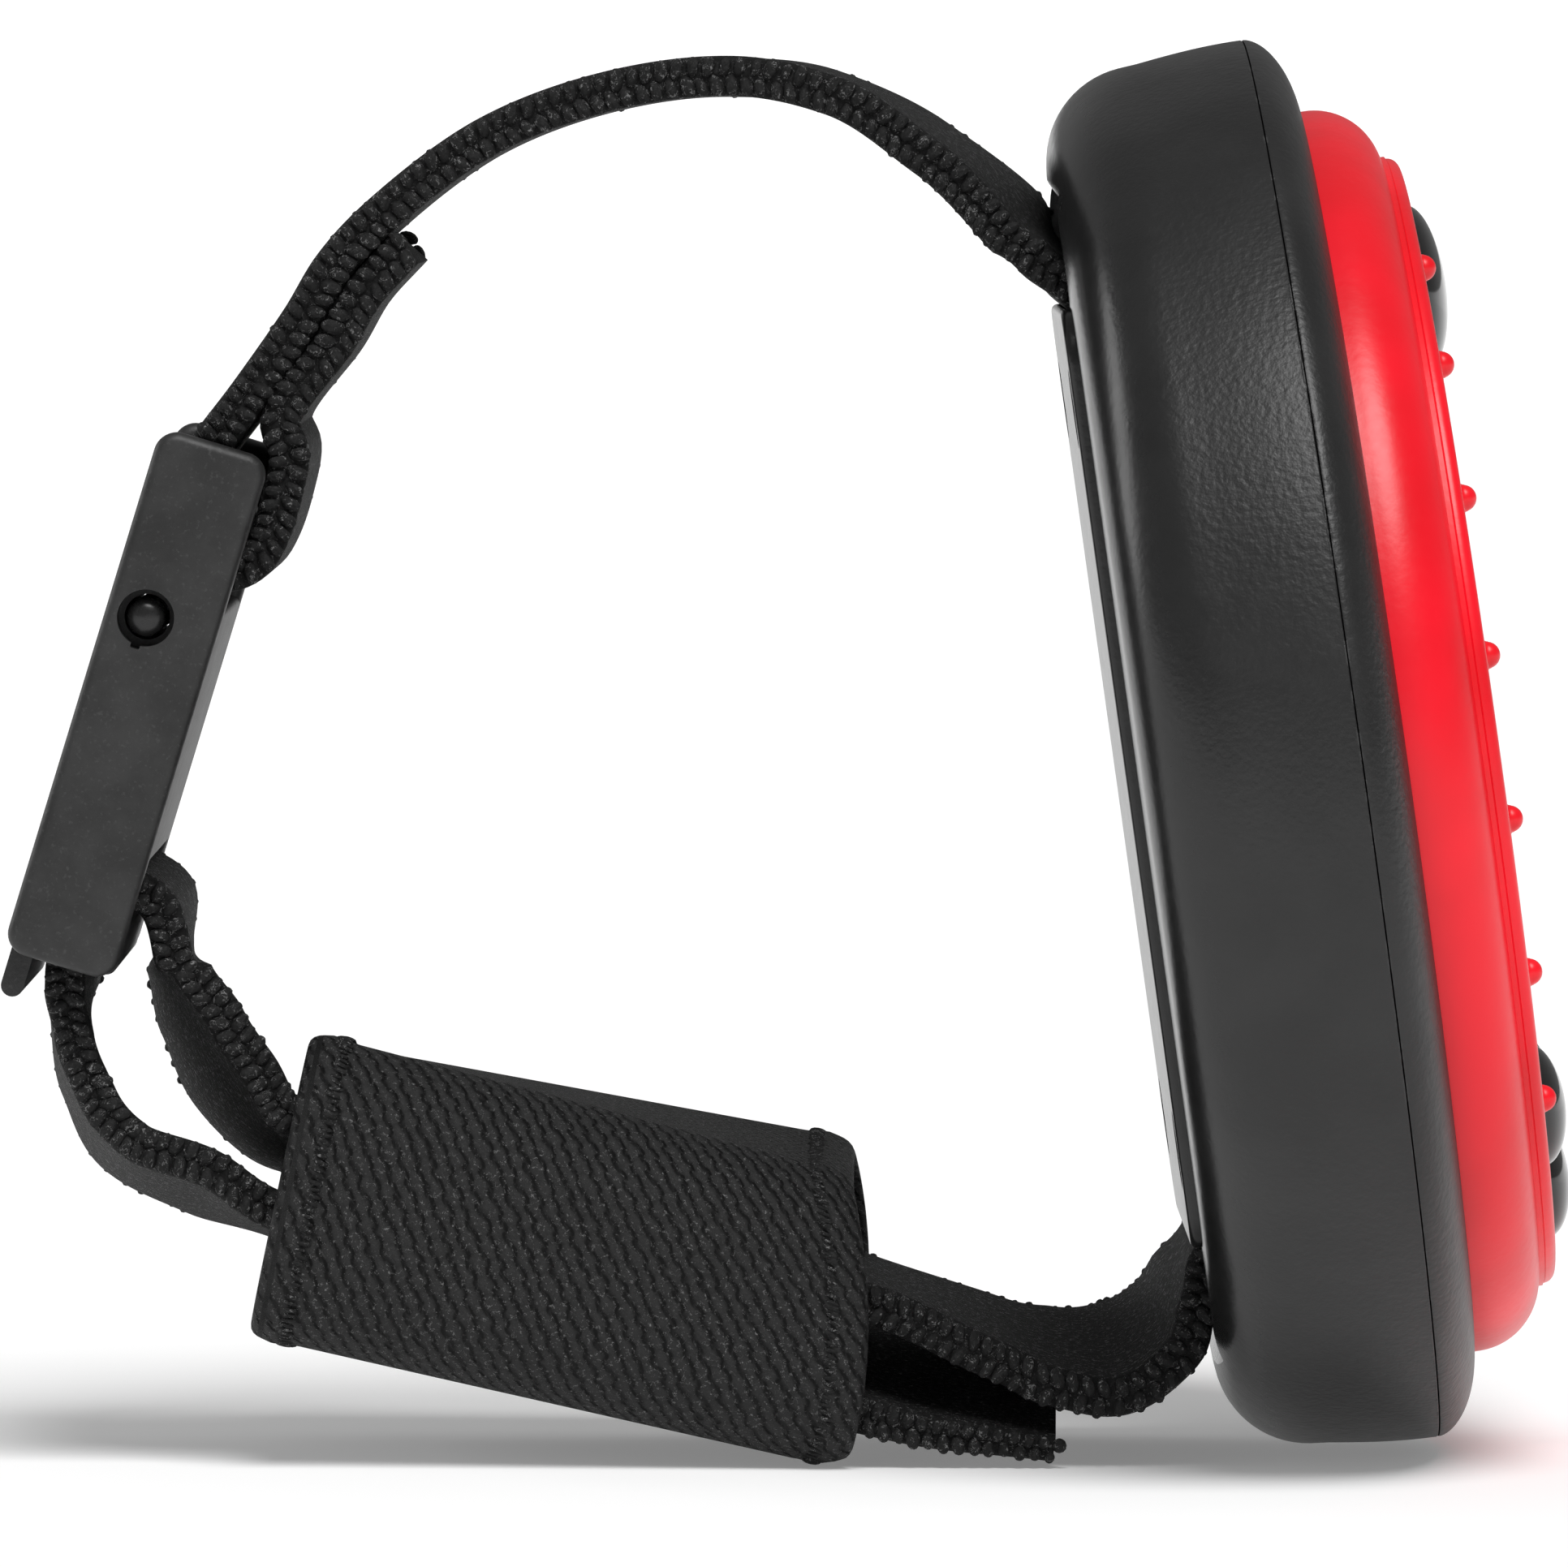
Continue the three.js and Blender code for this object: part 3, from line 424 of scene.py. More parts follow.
# ribbed knit: slanted strands |sin(pi c)| cut into stitches |sin(pi (l + half the strand's number))|,
# with c across the strands and l along them; holes open where both are low. The colour darkens with the height,
# painted shade in the holes and between the strands, and fibre ends are painted pale as glints
def keeperFinish():
    look = {"slant": 58.0, "strandsPerMm": 1.25, "stitchesPerMm": 0.85, "dark": 0.0008, "light": 0.019,
            "glintFibre": 0.15, "rough": 0.72}
    made, start = newFinish("keeper_knit")
    where = start.surface()
    wobble = start.noise(where, 0.9, 2.0)
    axes = start.node("ShaderNodeSeparateXYZ", {}, {0: where})
    along, around = axes, Wire(start.tree, axes.socket.node.outputs[1])
    slant = math.radians(look["slant"])
    across = (along * math.sin(slant) - around * math.cos(slant)) * look["strandsPerMm"] + wobble * 0.7
    down = (along * math.cos(slant) + around * math.sin(slant)) * look["stitchesPerMm"] + across.floor() * 0.5 \
        + wobble * 0.9
    strand = abs((across * math.pi).sine())
    stitch = abs((down * math.pi).sine())
    hole = (1 - strand.between(0.15, 0.75)) * (1 - stitch.between(0.3, 0.95))
    fuzz = start.noise(where, 3.6, 4.0, 0.7, 1.2)
    glintFibres = glintCurls(start, where, 4.4) * (1 - hole)
    height = strand * 0.5 + stitch * 0.2 + fuzz * 0.45 - hole * 1.1
    # colour follows the height: holes and gaps between strands darkened as painted shade, with random tone from
    # the fuzz
    colour = start.blendColour(height.between(0.3, 0.9), grey(look["dark"]), grey(look["light"]))
    # fibre ends coloured pale: painted glints
    colour = start.blendColour(glintFibres, colour, grey(look["glintFibre"]))
    finishWith(start, {"Base Color": colour, "Roughness": look["rough"] - 0.3 * glintFibres, "Specular IOR Level": 0.3,
                       "Normal": start.bump(height + glintFibres * 0.25, 1.0, 0.24)})
    return made


def metalFinish(name, shade, rough, metallic=1.0):
    made, start = newFinish(name)
    where = start.place()
    stretched = start.node("ShaderNodeMapping", {}, {"Vector": where, "Scale": (1.0, 0.15, 1.0)})
    streak = start.noise(stretched, 3.0, 4.0)
    colour = start.blendColour(streak.between(0.3, 0.7), grey(shade * 0.8), grey(shade))
    finishWith(start, {"Base Color": colour, "Roughness": rough + 0.12 * streak, "Metallic": metallic,
                       "Normal": start.bump(streak, 0.15, 0.02)})
    return made


finishes = {
    "shell": blackShellFinish(), "red": redFaceFinish(), "gloss": glossStudFinish(),
    "buckle": bucklePlasticFinish(), "elastic": elasticFinish(), "yarn": yarnFinish(), "keeper": keeperFinish(),
    "steel": metalFinish("zinc_steel", 0.45, 0.3), "magnet": metalFinish("ferrite", 0.09, 0.5, 0.3),
    "pin": metalFinish("dark_pin", 0.02, 0.22, 0.2),
}
print("stage: finishes made")


# the pad
band = "wristband"
shell = {"backEdge": 5.0, "taper": 0.55, "seam": -2.4, "bezelSlope": 4.0,
         "bridgeLength": 49.6, "bridgeWidth": 36.0, "bridgeThickness": 1.7, "proud": 0.6, "corner": 3.0,
         "strapWay": 26.0, "wayDepth": 2.8, "ramp": 7.0, "bevel": 3.2, "screwInset": 5.2}
bridgeOuter = -pad["depth"] - shell["proud"]
bridgeInner = bridgeOuter + shell["bridgeThickness"]


# a prism across the pad from a side outline of (forward, up) points
def prismAcross(name, outline, width):
    outline = np.asarray(outline, float)
    rings = np.stack([onPad(outline[:, 0], outline[:, 1], side * width / 2) for side in (-1.0, 1.0)])
    return tubeObject(name, rings)


def slabOnPad(name, length, width, corner, low, high, edge=0.001):
    def shrunk(drawn):
        return roundedOutline(length - 2 * drawn, width - 2 * drawn, max(corner - drawn, 0.05))
    return cushionedSlab(name, shrunk, lambda u, a, f: onPad(f + (low + high) / 2, u, a), high - low, edge)


# the barrel: a flat back, a round edge and a side that opens out on a quarter sine before the seam
def rearCase():
    radius, back, edge = pad["radius"], -pad["depth"], shell["backEdge"]
    seam, small = shell["seam"], pad["radius"] - shell["taper"]
    share = np.linspace(0, 1, 14)[1:]
    side = back + edge + (seam - 0.1 - back - edge) * share
    profile = np.concatenate([[[0.5, back], [small - edge - 0.4, back]],
                              arc(small - edge, back + edge, edge, edge, -90, -6, 16),
                              np.stack([small + shell["taper"] * np.sin(share * math.pi / 2), side], axis=-1),
                              [[radius - 0.03, seam - 0.05], [radius - 0.12, seam - 0.03],
                               [radius - 2.0, seam - 0.02], [0.5, seam - 0.02]]])
    case = turnedOnPad("rear_case_shell", profile)
    level = shell["bridgeLength"] / 2 - 0.2
    floor = bridgeInner + shell["wayDepth"]
    mouth = level + shell["ramp"] + 2
    outside = floor - (floor - back) / shell["ramp"] * (shell["ramp"] + 2)
    way = prismAcross("way", [[floor, -level], [floor, level], [outside, mouth], [outside, -mouth]],
                      shell["strapWay"])
    pocket = slabOnPad("pocket", shell["bridgeLength"] + 0.12, shell["bridgeWidth"] + 0.12, shell["corner"],
                       bridgeOuter - 1, bridgeInner + 0.3)
    return dress(cutAway(case, [pocket, way]), band, finishes["shell"], "black_shell", "rear_case")


# the front ring rolls in from the seam to the lip: r = lip + slope (cos a)^1.15, f = seam (1 - (sin a)^1.1)
def frontBezel():
    radius, seam, slope = pad["radius"], shell["seam"], shell["bezelSlope"]
    lip = radius - slope
    turn = np.radians(np.linspace(3, 88, 24))
    roll = np.stack([lip + slope * np.cos(turn) ** 1.15, seam * (1 - np.sin(turn) ** 1.1)], axis=-1)
    foot = [[lip - 3, seam], [radius - 0.14, seam + 0.01], [radius - 0.02, seam + 0.03]]
    inside = [[lip + 0.02, -0.06], [lip - 0.03, -0.3], [lip - 0.03, -1.5], [lip - 3, -1.5]]
    profile = np.concatenate([foot, roll, inside])
    angle = np.linspace(0, 2 * math.pi, 192, endpoint=False)
    r, f = profile[:, 0][:, None], profile[:, 1][:, None]
    rings = onPad(f + 0 * angle, r * np.cos(angle), r * np.sin(angle))
    rows = rings.shape[0]
    piece = meshObject("front_bezel_ring", rings.reshape(-1, 3), [gridFaces(rows, 192, closeRows=True)],
                       sharpAngle=30)
    return dress(piece, band, finishes["shell"], "black_shell", "front_bezel")


face = {"capRadius": 33.3, "capHeight": 4.0, "capEdge": 3.6, "plateRadius": 30.2, "plateEdge": 0.6,
        "nubRadius": 0.7, "nubHeight": 0.8, "ringRadius": 27.3, "nubPitch": 18.0, "perSide": 7,
        "firstNub": -45.0}


def faceCap():
    r, h, e = face["capRadius"], face["capHeight"], face["capEdge"]
    profile = np.concatenate([[[0.5, -1.2], [r - 0.3, -1.2], [r, -0.9]], arc(r - e, h - e, e, e, 0, 90, 24),
                              [[r - e - 1, h], [0.5, h]]])
    return dress(turnedOnPad("red_face_cap", profile), band, finishes["red"], "red_face", "face_cap")


# the raised plate: a foot with a fine step, then a rounded edge
def pinPlate():
    r, top, e = face["plateRadius"], pad["plateTop"], face["plateEdge"]
    low = face["capHeight"] - 0.1
    profile = np.concatenate([[[0.5, low], [r + 0.12, low], [r + 0.12, low + 0.30], [r - 0.02, low + 0.36]],
                              arc(r - e, top - e, e, e, 0, 90, 10), [[r - e - 0.5, top], [0.5, top]]])
    plate = turnedOnPad("pin_plate_disc", profile, sharpAngle=24)
    dome = arc(0, face["nubHeight"] - face["nubRadius"], face["nubRadius"], face["nubRadius"], 0, 82, 7)
    foot = arc(face["nubRadius"] + 0.25, 0.25, 0.25, 0.25, 270, 180, 4)
    shape = np.concatenate([[[0.1, -0.3], [face["nubRadius"] + 0.25, -0.3]], foot, dome])
    shape[:, 1] += top
    places = [(face["ringRadius"] * math.sin(a), side * face["ringRadius"] * math.cos(a)) for side in (1, -1)
              for a in np.radians(face["firstNub"] + face["nubPitch"] * np.arange(face["perSide"]))]
    nubs = [turnedOnPad(f"nub_{i}", shape, up, across, 24) for i, (up, across) in enumerate(places)]
    return dress(joined("pin_plate_disc", [plate, *nubs]), band, finishes["red"], "red_face", "pin_plate")


studs = {
    "top_stud": {"up": 23.2, "across": 0.0, "radius": 4.4, "rise": 1.65},
    "bottom_stud": {"up": -24.6, "across": 0.0, "radius": 3.3, "rise": 1.6},
    "near_stud": {"up": -20.4, "across": -6.6, "radius": 3.3, "rise": 1.7},
    "far_stud": {"up": -20.4, "across": 6.6, "radius": 3.3, "rise": 1.7},
}


def studDome(name, up, across, radius, rise):
    top, base = pad["plateTop"] + rise, pad["plateTop"] - 0.15
    profile = np.concatenate([[[0.1, base], [radius - 0.15, base], [radius, base + 0.12]],
                              arc(0, base + 0.2, radius, top - base - 0.2, 0, 88, 16)])
    piece = turnedOnPad(name + "_dome", profile, up, across, 64)
    return dress(piece, band, finishes["gloss"], "gloss_stud", name)


def strapBridge():
    plate = slabOnPad("strap_bridge_plate", shell["bridgeLength"], shell["bridgeWidth"], shell["corner"],
                      bridgeOuter, bridgeInner, 0.35)
    half = shell["bridgeLength"] / 2
    bevels = []
    for side in (1, -1):
        outline = [[bridgeOuter - 0.3, side * (half + 1.5)], [bridgeOuter + 0.3, side * half],
                   [bridgeInner + 0.1, side * (half - shell["bevel"])], [bridgeInner + 0.1, side * (half + 1.5)]]
        bevels.append(prismAcross("bevel", outline, shell["strapWay"]))
    seats = [turnedOnPad("seat", [[0.1, bridgeOuter - 1], [2.1, bridgeOuter - 1], [2.1, bridgeOuter + 1.15],
                                  [0.1, bridgeOuter + 1.15]], up, across, 32) for up, across in screwPlaces()]
    piece = cutAway(plate, [*bevels, *seats])
    return dress(piece, band, finishes["shell"], "black_shell", "strap_bridge")


def screwPlaces():
    up = shell["bridgeLength"] / 2 - shell["screwInset"]
    across = (shell["strapWay"] + shell["bridgeWidth"]) / 4
    return [(up, across), (-up, across), (-up, -across), (up, -across)]


def bridgeScrew(index, up, across):
    head = bridgeOuter + 0.1
    profile = [[0.1, head], [1.45, head], [1.7, head + 0.08], [1.8, head + 0.3], [1.8, head + 0.9],
               [0.9, head + 0.9], [0.9, head + 4.4], [0.2, head + 5.1]]
    screw = turnedOnPad(f"screw_{index}_cross_head", profile, up, across, 32)
    slots = [slabOnPad("slot", long, wide, 0.1, head - 1, head + 0.45) for long, wide in ((2.2, 0.5), (0.5, 2.2))]
    for slot in slots:
        slot.data.transform(Matrix.Translation((onPad(0.0, up, across) - padFront) * mm))
    return dress(cutAway(screw, slots), band, finishes["steel"], "steel", f"bridge_screw_{index}")


rearCase()
frontBezel()
faceCap()
pinPlate()
for studName, spec in studs.items():
    studDome(studName, **spec)
strapBridge()
for number, (up, across) in enumerate(screwPlaces(), 1):
    bridgeScrew(number, up, across)
for node, finish in (("magnet_disc", "magnet"), ("magnet_backing_plate", "steel"), ("magnet_carrier", "shell")):
    frame["nodes"][node].data.materials.clear()
    frame["nodes"][node].data.materials.append(finishes[finish])
print("stage: pad made")


# the strap's route: the part's stops, with those beside the keeper lying a little lower
strap = {"thickness": 2.2, "gap": 0.3, "sewnGap": 2.15, "bodyHalf": 12.05, "corner": 0.5, "edgePitch": 0.80,
         "stitchLong": 0.56, "stitchWide": 0.40, "stitchProud": 0.42, "rowOffset": 0.50, "stitchTurn": 68.0}
drawnBuckle = {"x": -33.9, "z": 40.6}
routeShift = np.array([buckleMiddle[0] - drawnBuckle["x"], 0.0, buckleMiddle[2] - drawnBuckle["z"]])


def stop(point, roll=0.0, thick=1.0):
    return (point[0], point[2], roll, thick)


def free(x, z, roll=0.0, thick=1.0):
    return stop(np.array([x, 0.0, z]) + routeShift, roll, thick)


def routeStops():
    bar, barOut, reach = buckle["loopBarAlong"], buckle["loopBarOut"], buckle["loopReach"]
    gripIn, gripEnd, gripMid = buckle["gripStart"], buckle["gripEnd"], buckle["gripCentre"]
    back, half = -pad["depth"], shell["bridgeLength"] / 2
    middle = bridgeInner + shell["wayDepth"] / 2
    arch = [stop(onBuckle(bar - 6.7, barOut + 0.65)), stop(onBuckle(bar - 11.45, barOut - 0.9)),
            stop(onBuckle(bar - 14.6, barOut - 1.7)), stop(onBuckle(bar - 17.8, barOut - 3.25)),
            free(-15.6, 70.3), free(-9.2, 72.7), free(-2.8, 73.5), free(2.6, 72.65, 1),
            stop(onPad(back - 5.9, half + 9.3), 3), stop(onPad(back - 2.05, half + 4.8), 5)]
    sewn = []
    for i in (3, 2, 1, 0):
        (x, z), (nextX, nextZ) = arch[i][:2], arch[i + 1][:2]
        size = math.hypot(nextX - x, nextZ - z)
        aside = strap["sewnGap"]
        sewn.append((x + (nextZ - z) / size * aside, z - (nextX - x) / size * aside, 0.0, 1.0))
    loop = [stop(onBuckle(bar - 4.6, barOut - reach + 0.25)), stop(onBuckle(bar - 2.2, barOut - reach - 0.05))]
    loop += [stop(onBuckle(d, o)) for d, o in arc(bar, barOut, reach, reach, -90, 90, 6)]
    loop += [stop(onBuckle(bar - 1.7, barOut + reach - 0.25)), stop(onBuckle(bar - 3.6, barOut + reach - 0.8))]
    slope = [(middle - 3.65, half + 3.1), (middle - 2.3, half + 1.2), (middle - 0.7, half - 0.6),
             (middle, half - 3)]
    under = [stop(onPad(f, u), 0 if i else 2) for i, (f, u) in enumerate(slope)] + [stop(onPad(middle, 0.0))]
    under += [stop(onPad(f, -u), 0 if i < 3 else -3) for i, (f, u) in enumerate(slope[::-1])]
    lower = [stop(onPad(back - 2.4, -half - 4.9), -5), free(17.6, 5.3, -6), free(14.2, 5.4, -4),
             free(11.4, 6.3, -2), free(4.7, 8.9), free(-5, 11.8, 1), free(-15, 14.5, 4), free(-23.8, 16.3, 7),
             free(-27.4, 17.7, 9), free(-29.4, 20.2, 10.5), free(-31.0, 23.2, 9), free(-32.2, 26.0, 6),
             stop(onBuckle(gripIn + 1.9, buckle["skinSide"] - 2.4), 2),
             stop(onBuckle(gripIn - 0.8, buckle["skinSide"] - 1.2))]
    bend = 0.6 + strap["gap"] + strap["thickness"] / 2
    grip = [stop(onBuckle(d, o)) for d, o in arc(gripIn + 0.6, buckle["gripFace"] - 0.6, bend, bend, 180, 90, 4)]
    grip += [stop(onBuckle(gripEnd, gripMid - 0.02))]
    tail = [stop(onBuckle(gripEnd + 1.6, gripMid - 0.4)), stop(onBuckle(gripEnd + 3.92, gripMid - 1), -3),
            stop(onBuckle(gripEnd + 7.05, gripMid - 2.9), -5), stop(onBuckle(gripEnd + 9.3, gripMid - 5.6), -7),
            free(-31.1, 14.7, -8), free(-27, 12.9, -5), free(-15, 9.5, -1), free(-4, 6.3, 2.5), free(3, 4.4, 5),
            free(8, 3.6, 7, 0.85), free(14.4, 2.7, 7, 0.65)]
    return np.array(sewn + loop + arch + under + lower + grip + tail)


# a centripetal Catmull-Rom curve through the stops: knots are spaced by the square root of the distance
def throughStops(stops, t):
    points = np.stack([stops[:, 0], np.zeros(len(stops)), stops[:, 1]], axis=-1)
    points = np.concatenate([[2 * points[0] - points[1]], points, [2 * points[-1] - points[-2]]])
    i = np.minimum(t.astype(int), len(stops) - 2)
    u = (t - i)[:, None]
    a, b, c, d = points[i], points[i + 1], points[i + 2], points[i + 3]
    ab, bc, cd = (np.sqrt(np.linalg.norm(q - p, axis=1))[:, None] for p, q in ((a, b), (b, c), (c, d)))
    leave = ((b - a) / ab - (c - a) / (ab + bc) + (c - b) / bc) * bc
    arrive = ((c - b) / bc - (d - b) / (bc + cd) + (d - c) / cd) * bc
    return b + leave * u + (3 * (c - b) - 2 * leave - arrive) * u ** 2 + (2 * (b - c) + leave + arrive) * u ** 3


# even steps along the route: centres, directions across and through, thickness share and distance along
def strapRoute(step):
    stops = routeStops()
    fine = np.linspace(0, len(stops) - 1, 12000)
    line = throughStops(stops, fine)
    length = np.concatenate([[0], np.cumsum(np.linalg.norm(np.diff(line, axis=0), axis=1))])
    along = np.linspace(0, length[-1], int(length[-1] / step))
    t = np.interp(along, length, fine)
    centre = throughStops(stops, t)
    tangent = np.gradient(centre, axis=0)
    tangent /= np.linalg.norm(tangent, axis=1)[:, None]
    i = np.minimum(t.astype(int), len(stops) - 2)
    ease = (t - i) ** 2 * (3 - 2 * (t - i))
    roll = np.radians(stops[i, 2] * (1 - ease) + stops[i + 1, 2] * ease)[:, None]
    thick = stops[i, 3] * (1 - ease) + stops[i + 1, 3] * ease
    normal = np.stack([-tangent[:, 2], np.zeros(len(t)), tangent[:, 0]], axis=-1)
    wide = acrossAxis * np.cos(roll) + normal * np.sin(roll)
    deep = normal * np.cos(roll) - acrossAxis * np.sin(roll)
    return {"centre": centre, "tangent": tangent, "wide": wide, "deep": deep, "thick": thick, "along": along}


# the strap's body: a flat bar with round edges, carried along the route
def strapBody():
    route = strapRoute(0.3)
    section = roundedBar(strap["bodyHalf"], strap["thickness"] / 2 - 0.04, strap["corner"])
    across, depth = section[:, 0][None, :, None], section[:, 1][None, :, None] * route["thick"][:, None, None]
    rings = route["centre"][:, None] + across * route["wide"][:, None] + depth * route["deep"][:, None]
    around = np.concatenate([[0], np.cumsum(np.linalg.norm(np.diff(section, axis=0), axis=1))])
    uv = np.stack(np.broadcast_arrays(route["along"][:, None], around[None, :]), axis=-1)
    return dress(tubeObject("elastic_strap", rings, uv, 60), band, finishes["elastic"], "elastic",
                 "strap_sewn_end", "strap_bar_loop", "strap_arch", "strap_under_bridge", "strap_lower_run",
                 "strap_grip_turn", "strap_tail")


# the outline of a flat bar, with extra points along its two faces
def roundedBar(halfWidth, halfDepth, corner):
    outline = roundedOutline(2 * halfWidth, 2 * halfDepth, corner, 4)
    inner = np.linspace(halfWidth - corner, corner - halfWidth, 12)[1:-1]
    top = np.stack([inner, np.full(10, halfDepth)], axis=-1)
    under = np.stack([inner[::-1], np.full(10, -halfDepth)], axis=-1)
    return np.concatenate([outline[:5], top, outline[5:15], under, outline[15:]])


# a small ball of latitudes and longitudes, as points and faces
def ball(rows, columns):
    angle = np.linspace(0, math.pi, rows + 2)[1:-1][:, None]
    turn = np.linspace(0, 2 * math.pi, columns, endpoint=False)[None, :]
    away = np.sin(angle)
    points = np.stack(np.broadcast_arrays(np.cos(angle), away * np.cos(turn), away * np.sin(turn)), axis=-1)
    points = points.reshape(-1, 3)
    points = np.concatenate([points, [[1, 0, 0], [-1, 0, 0]]])
    ring = np.arange(columns)
    fans = np.concatenate([fanFaces(rows * columns, ring[::-1]), fanFaces(rows * columns + 1,
                                                                          ring + (rows - 1) * columns)])
    return points, gridFaces(rows, columns), fans


# one mesh of many small balls, each with its own middle and three half-axes
def stitches(name, middle, long, wide, proud, rows=5, columns=8):
    shape, quads, fans = ball(rows, columns)
    axes = np.stack([long, wide, proud], axis=1)
    points = middle[:, None] + np.einsum("pk,nkd->npd", shape, axes)
    first = (np.arange(len(middle)) * len(shape))[:, None, None]
    faces = [(quads + first).reshape(-1, 4), (fans + first).reshape(-1, 3)]
    return meshObject(name, points.reshape(-1, 3), faces)


# the plaited edges: two rows of slanted stitches on each edge, leaning in to a common line
def selvedges():
    route = strapRoute(strap["edgePitch"])
    pieces = []
    for side in (-1, 1):
        for row in (-1, 1):
            shift = 0.25 * row * strap["edgePitch"]
            count = len(route["along"])
            jitter = seeded.normal(0, 0.03, (count, 3))
            size = 1 + seeded.normal(0, 0.07, (count, 1))
            thick = route["thick"][:, None]
            turn = np.radians(strap["stitchTurn"] + seeded.normal(0, 6, (count, 1)))
            middle = route["centre"] + route["tangent"] * shift \
                + side * route["wide"] * (strap["bodyHalf"] + 0.02) \
                + row * route["deep"] * strap["rowOffset"] * thick + jitter
            lengthwise = route["tangent"] * np.cos(turn) + row * route["deep"] * np.sin(turn)
            outward = side * route["wide"] * 0.9 + row * route["deep"] * 0.35
            crossing = np.cross(lengthwise, outward)
            pieces.append((middle, lengthwise * strap["stitchLong"] * size * thick,
                           crossing * strap["stitchWide"] * size, outward * strap["stitchProud"] * size))
    middle, long, wide, proud = (np.concatenate([piece[k] for piece in pieces]) for k in range(4))
    piece = stitches("strap_selvedge_stitches", middle, long, wide, proud)
    return dress(piece, band, finishes["yarn"], "elastic")


strapBody()
selvedges()
print("stage: strap made")


# the keeper
keeper = {"wall": 1.2, "width": 28.8, "corner": 4.2, "rows": 60, "endCurve": 1.1, "lean": 2.9, "floor": 0.4,
          "hem": 0.72, "length": 29.0, "swell": 0.16, "swellAt": 0.7, "swellReach": 0.55,
          "left": {"x": -26.0, "top": 22.6, "bottom": 6.0, "roll": -4.2},
          "right": {"x": 2.4, "top": 16.3, "bottom": 0.6, "roll": 1.8}}


# rings of the tube at shares t of the way from left to right, drawn in, and moved on along the axis; the right
# end goes on by lean (1 - h) / 2 - endCurve h^2, with h the height from -1 to 1, and lies on the floor
def keeperRings(t, drawn, onward, steps=14):
    left, right = keeper["left"], keeper["right"]
    mix = {key: (left[key] * (1 - t) + right[key] * t)[:, None] for key in left}
    drop = (right["top"] + right["bottom"] - left["top"] - left["bottom"]) / 2
    way = np.array([right["x"] - left["x"], 0, drop])
    way /= np.linalg.norm(way)
    roll = np.radians(mix["roll"])
    normal = np.array([-way[2], 0.0, way[0]])
    wide = acrossAxis * np.cos(roll) + normal * np.sin(roll)
    deep = normal * np.cos(roll) - acrossAxis * np.sin(roll)
    middle = mix["x"] * [1, 0, 0] + (mix["top"] + mix["bottom"]) / 2 * [0, 0, 1] + routeShift
    height = (mix["top"] - mix["bottom"]) * way[0]
    corner = np.broadcast_to(keeper["corner"] - np.asarray(drawn, float).reshape(-1, 1), mix["x"].shape)
    drawn = keeper["corner"] - corner
    turn = np.radians(np.linspace(0, 90, steps + 1))
    quarter = np.concatenate([turn, turn + math.pi / 2, turn + math.pi, turn + 1.5 * math.pi])
    signAcross = np.repeat([1, -1, -1, 1], steps + 1)
    signUp = np.repeat([1, 1, -1, -1], steps + 1)
    across = signAcross * (keeper["width"] / 2 - drawn - corner) + corner * np.cos(quarter)
    up = signUp * (height / 2 - drawn - corner) + corner * np.sin(quarter)
    across, up = fillSides(across), fillSides(up)
    share = up / (height / 2)
    end = keeper["lean"] * (1 - share) / 2 - keeper["endCurve"] * share ** 2
    cut = end * t[:, None] ** 2 + np.asarray(onward, float).reshape(-1, 1)
    rings = middle[:, None] + across[..., None] * wide[:, None] + up[..., None] * deep[:, None] \
        + cut[..., None] * way
    rings[..., 2] = np.maximum(rings[..., 2], keeper["floor"] + drawn)
    return rings, way


# extra points along the four flat sides, so that patterns and bends stay even
def fillSides(values, between=9):
    corners = np.stack(np.split(values, 4, axis=1), axis=1)
    start, end = corners[:, :, -1:], np.roll(corners, -1, axis=1)[:, :, :1]
    share = np.linspace(0, 1, between + 2)[1:-1]
    sides = start * (1 - share) + end * share
    return np.concatenate([corners, sides], axis=2).reshape(len(values), -1)


# outside, round the rolled hem, back along the inside and round the other hem; the outside swells near each
# end by swell exp(-((d - at) / reach)^2), with d the distance from the end
def keeperTube():
    rows, wall, hem = keeper["rows"], keeper["wall"], keeper["hem"]
    run = np.linspace(0, 1, rows)
    near = np.minimum(run, 1 - run) * keeper["length"]
    swell = keeper["swell"] * np.exp(-((near - keeper["swellAt"]) / keeper["swellReach"]) ** 2)
    outer, way = keeperRings(run, -swell, 0 * run)
    inner, _ = keeperRings(run[::-1], np.full(rows, wall), 0 * run)
    turn = np.linspace(0, math.pi, 9)[1:-1]
    depth = wall / 2 * (1 - np.cos(turn))
    rightHem, _ = keeperRings(np.ones(7), depth, hem * np.sin(turn))
    leftHem, _ = keeperRings(np.zeros(7), depth[::-1], -hem * np.sin(turn[::-1]))
    rings = np.concatenate([outer, rightHem, inner, leftHem])
    ring = rings[rows // 2]
    around = np.concatenate([[0], np.cumsum(np.linalg.norm(np.diff(ring, axis=0), axis=1))])
    along = np.concatenate([[0], np.cumsum(np.linalg.norm(np.diff(rings, axis=0), axis=2).mean(axis=1))])
    uv = np.stack(np.broadcast_arrays(along[:, None], around[None, :]), axis=-1)
    piece = meshObject("keeper_sleeve", rings.reshape(-1, 3),
                       [gridFaces(rings.shape[0], rings.shape[1], closeRows=True)], uv.reshape(-1, 2), 60)
    return dress(piece, "keeper", finishes["keeper"], "keeper_knit", "strap_keeper")


rim = {"pitch": 0.36, "setBack": 1.15, "long": 0.40, "wide": 0.13, "proud": 0.16}


